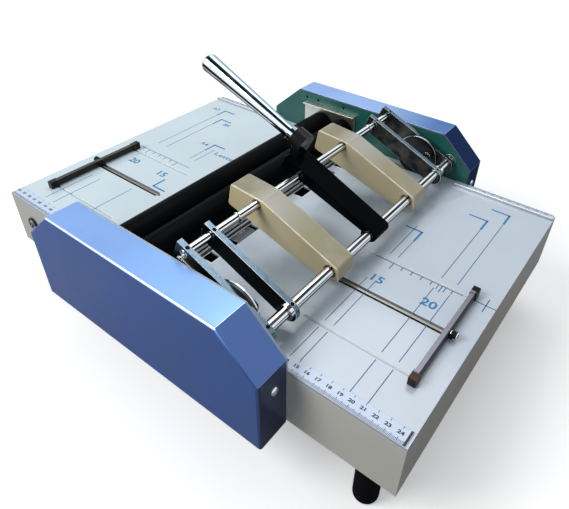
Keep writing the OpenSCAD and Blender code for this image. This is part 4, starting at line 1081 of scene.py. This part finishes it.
class BOOKLET_OT_stops(bpy.types.Operator):
    """Finishes of the paper stops and their knobs"""
    bl_idname = "booklet.stops"
    bl_label = "Paper stops"

    def execute(self, context):
        for node, *colours in (
                ("right_stop_bar", (0.19, 0.19, 0.225), (0.03, 0.03, 0.034), (0.045, 0.03, 0.022),
                 (0.01, 0.01, 0.012)),
                ("left_stop_bar", (0.075, 0.075, 0.065), (0.03, 0.03, 0.027), (0.02, 0.02, 0.02),
                 (0.02, 0.02, 0.02))):
            hone(stop_bar_finish(node + "_steel", *colours, node), node)
        black = blackened("knob_black", (0.008, 0.008, 0.009), 0.3)
        hone(black, "left_stop_knob")
        # Painted highlight: the right knob's bevelled edges are bright chrome
        hone(black, "right_stop_knob", width=0.9,
             edge=polished("knob_edge_highlight", (0.85, 0.87, 0.88), (1, 1, 1)))
        low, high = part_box("wall_ring")
        hone(ring_plug("wall_ring_black", (low + high) / 2), "wall_ring")
        # Painted shade: the rails' bevelled edges are black, for the dark gaps either side
        hone(brushed("rail_steel", (0.20, 0.195, 0.175), stretch=(2, 60, 60)), "stop_rails", width=0.7,
             edge=blackened("rail_edge_shade", (0.006, 0.006, 0.006), 0.4))
        return {"FINISHED"}


class BOOKLET_OT_table_print(bpy.types.Operator):
    """Prints the paper-size corners, the centre scale and its numbers, and painted highlights on the
    notches' lips
    """
    bl_idname = "booklet.table_print"
    bl_label = "Table marks"

    def execute(self, context):
        p = ink()
        bold, fine, lip_highlights = bmesh.new(), bmesh.new(), bmesh.new()
        for x, y, dx, dy in CORNER_MARKS:
            self.corner(bold, x, y, dx, dy, p.thick, p.film)
        for x, runs in PAPER_LINES:
            for y0, y1 in runs:
                self.line(fine, (x, y0), (x, y1), p.thin)
        self.scale(fine, p.thin)
        for words, x, y, size, wide in TABLE_WORDS:
            weight = DIGIT_BOLD if words.isdigit() else WORD_BOLD
            put_text(bold, words, x * MM, y * MM, TABLE_Z, size * MM, p.film, weight, wide)
        for y0, y1 in NOTCH_RUNS:
            self.line(lip_highlights, (LIP_TURN, y0 - LIP), (LIP_TURN, y1), LIP * MM)
            self.line(lip_highlights, (LIP_START, y0 - LIP / 2), (LIP_TURN - LIP / 2, y0 - LIP / 2), LIP * MM)
        # Painted highlight: pale strips along the notches' lips
        white = sheet_paint("notch_lip_highlight", (0.90, 0.92, 0.95), 0.3, 0.03)
        add_mesh("notch_lip_highlights", lip_highlights, white, "base")
        add_mesh("table_corner_marks", bold, print_ink("table_ink", p.ink[:]), "base")
        add_mesh("table_thin_lines", fine, print_ink("thin_line_ink", p.faint_ink[:]), "base")
        return {"FINISHED"}

    def line(self, bm, a, b, width):
        """A line on the tables, from a to b in mm"""
        put_line(bm, [v * MM for v in a], [v * MM for v in b], width, TABLE_Z, ink().film)

    def corner(self, bm, x, y, dx, dy, width, film):
        """Two legs of a paper corner, the first longer by half the line's width"""
        side = width / 2 * (1 if dx < 0 else -1)
        put_line(bm, (x * MM + side, y * MM), ((x + dx) * MM, y * MM), width, TABLE_Z, film)
        self.line(bm, (x, y), (x, y + dy), width)

    def scale(self, bm, thin):
        """The centre line with its ticks, and the cross by the right edge"""
        for start, end in SCALE_LINES:
            self.line(bm, (start, SCALE_Y), (end, SCALE_Y), thin)
        for k in SCALE_CM:
            reach = LONG_TICK if k in LONG_CM else SHORT_TICK
            for side in (1, -1):
                x = side * 10 * k + STAPLE_X / MM
                self.line(bm, (x, SCALE_Y), (x, SCALE_Y - reach), thin * HEAVIER)
        for x in EXTRA_TICKS:
            self.line(bm, (x, SCALE_Y), (x, SCALE_Y - EXTRA_TICK), thin)
        left, right = CROSS_ARM_X
        self.line(bm, (CROSS_X + left, CROSS_Y), (CROSS_X + right, CROSS_Y), thin * HEAVIER)
        low, high = CROSS_ARM_Y
        self.line(bm, (CROSS_X, CROSS_Y + low), (CROSS_X, CROSS_Y + high), thin * HEAVIER)


class BOOKLET_OT_ruler_print(bpy.types.Operator):
    """Prints the centimetre scales on the four ruler strips"""
    bl_idname = "booklet.ruler_print"
    bl_label = "Ruler marks"

    def execute(self, context):
        p = ink()
        black = print_ink("ruler_ink", p.ruler_ink[:])
        tree = tick_tree()
        bm = bmesh.new()
        front, rear = RULER_LO[1], RULER_HI[1]
        for edge, inward, width in ((front, 1, FRONT_STRIP), (rear, -1, REAR_STRIP)):
            for side, (start, five) in ((-1, LEFT_SCALE), (1, RIGHT_SCALE)):
                for first, pitch, count, size in ((start, MM, MM_COUNT, MM_TICK),
                                                  (start + five, 5 * MM, FIVE_COUNT, FIVE_TICK)):
                    self.ticks(bm, tree, black, first, pitch, count, edge, inward, size, p.film)
                for k in RULER_CM:
                    x = side * 0.01 * k + STAPLE_X
                    if abs(x) <= LAST_CM:
                        self.centimetre(bm, k, x, edge, inward, width, p)
        end = RULER_HI[0] - END_LINE
        put_line(bm, (end, front), (end, front + FRONT_STRIP), END_WIDTH, RULER_Z, p.film)
        add_mesh("ruler_scale", bm, black, "base")
        return {"FINISHED"}

    def centimetre(self, bm, k, x, edge, inward, width, p):
        """The tick of centimetre k, a shorter one on the strip's far edge, and the number between them"""
        put_line(bm, (x, edge), (x, edge + inward * CM_TICK), CM_WIDTH, RULER_Z, p.film)
        far = edge + inward * width
        put_line(bm, (x, far), (x, far - inward * FAR_TICK), CM_WIDTH, RULER_Z, p.film)
        put_text(bm, str(k), x, edge + inward * (width * 0.5 + NUMBER_IN), RULER_Z,
                 min(p.digit, width * NUMBER_SHARE), p.film, NUMBER_BOLD, NUMBER_WIDE)

    def ticks(self, bm, tree, mat, start, pitch, count, edge, inward, size, film):
        """A row of ticks, each with the length and the width in size"""
        length, width = size
        middle = (start, edge + inward * length / 2, RULER_Z + film / 2)
        mesh = grown("ticks", tree, {
            "Start": middle, "Pitch": pitch, "Count": count, "Bar": (width, length, film), "Ink": mat})
        bm.from_mesh(mesh)
        bpy.data.meshes.remove(mesh)


STEPS = (
    "stage", "body", "cover_screws", "frame", "staplers", "rollers", "stops", "table_print", "ruler_print",
)


class BOOKLET_PT_panel(bpy.types.Panel):
    """Lists the steps that dress the booklet maker"""
    bl_idname = "BOOKLET_PT_panel"
    bl_label = "Booklet maker"
    bl_space_type = "VIEW_3D"
    bl_region_type = "UI"
    bl_category = "Booklet"

    def draw(self, context):
        for group in ("booklet_paint", "booklet_print", "booklet_stage"):
            data = getattr(context.scene, group)
            for key in data.__annotations__:
                self.layout.prop(data, key)
        for step in STEPS:
            self.layout.operator("booklet." + step)


CLASSES = (
    PaintSettings, PrintSettings, StageSettings,
    BOOKLET_OT_stage, BOOKLET_OT_body, BOOKLET_OT_cover_screws, BOOKLET_OT_frame, BOOKLET_OT_staplers,
    BOOKLET_OT_rollers, BOOKLET_OT_stops, BOOKLET_OT_table_print, BOOKLET_OT_ruler_print,
    BOOKLET_PT_panel,
)


def register():
    for cls in CLASSES:
        bpy.utils.register_class(cls)
    bpy.types.Scene.booklet_paint = bpy.props.PointerProperty(type=PaintSettings)
    bpy.types.Scene.booklet_print = bpy.props.PointerProperty(type=PrintSettings)
    bpy.types.Scene.booklet_stage = bpy.props.PointerProperty(type=StageSettings)


def unregister():
    del bpy.types.Scene.booklet_paint
    del bpy.types.Scene.booklet_print
    del bpy.types.Scene.booklet_stage
    for cls in reversed(CLASSES):
        bpy.utils.unregister_class(cls)


def main():
    register()
    for step in STEPS:
        getattr(bpy.ops.booklet, step)()


if __name__ == "__main__":
    main()
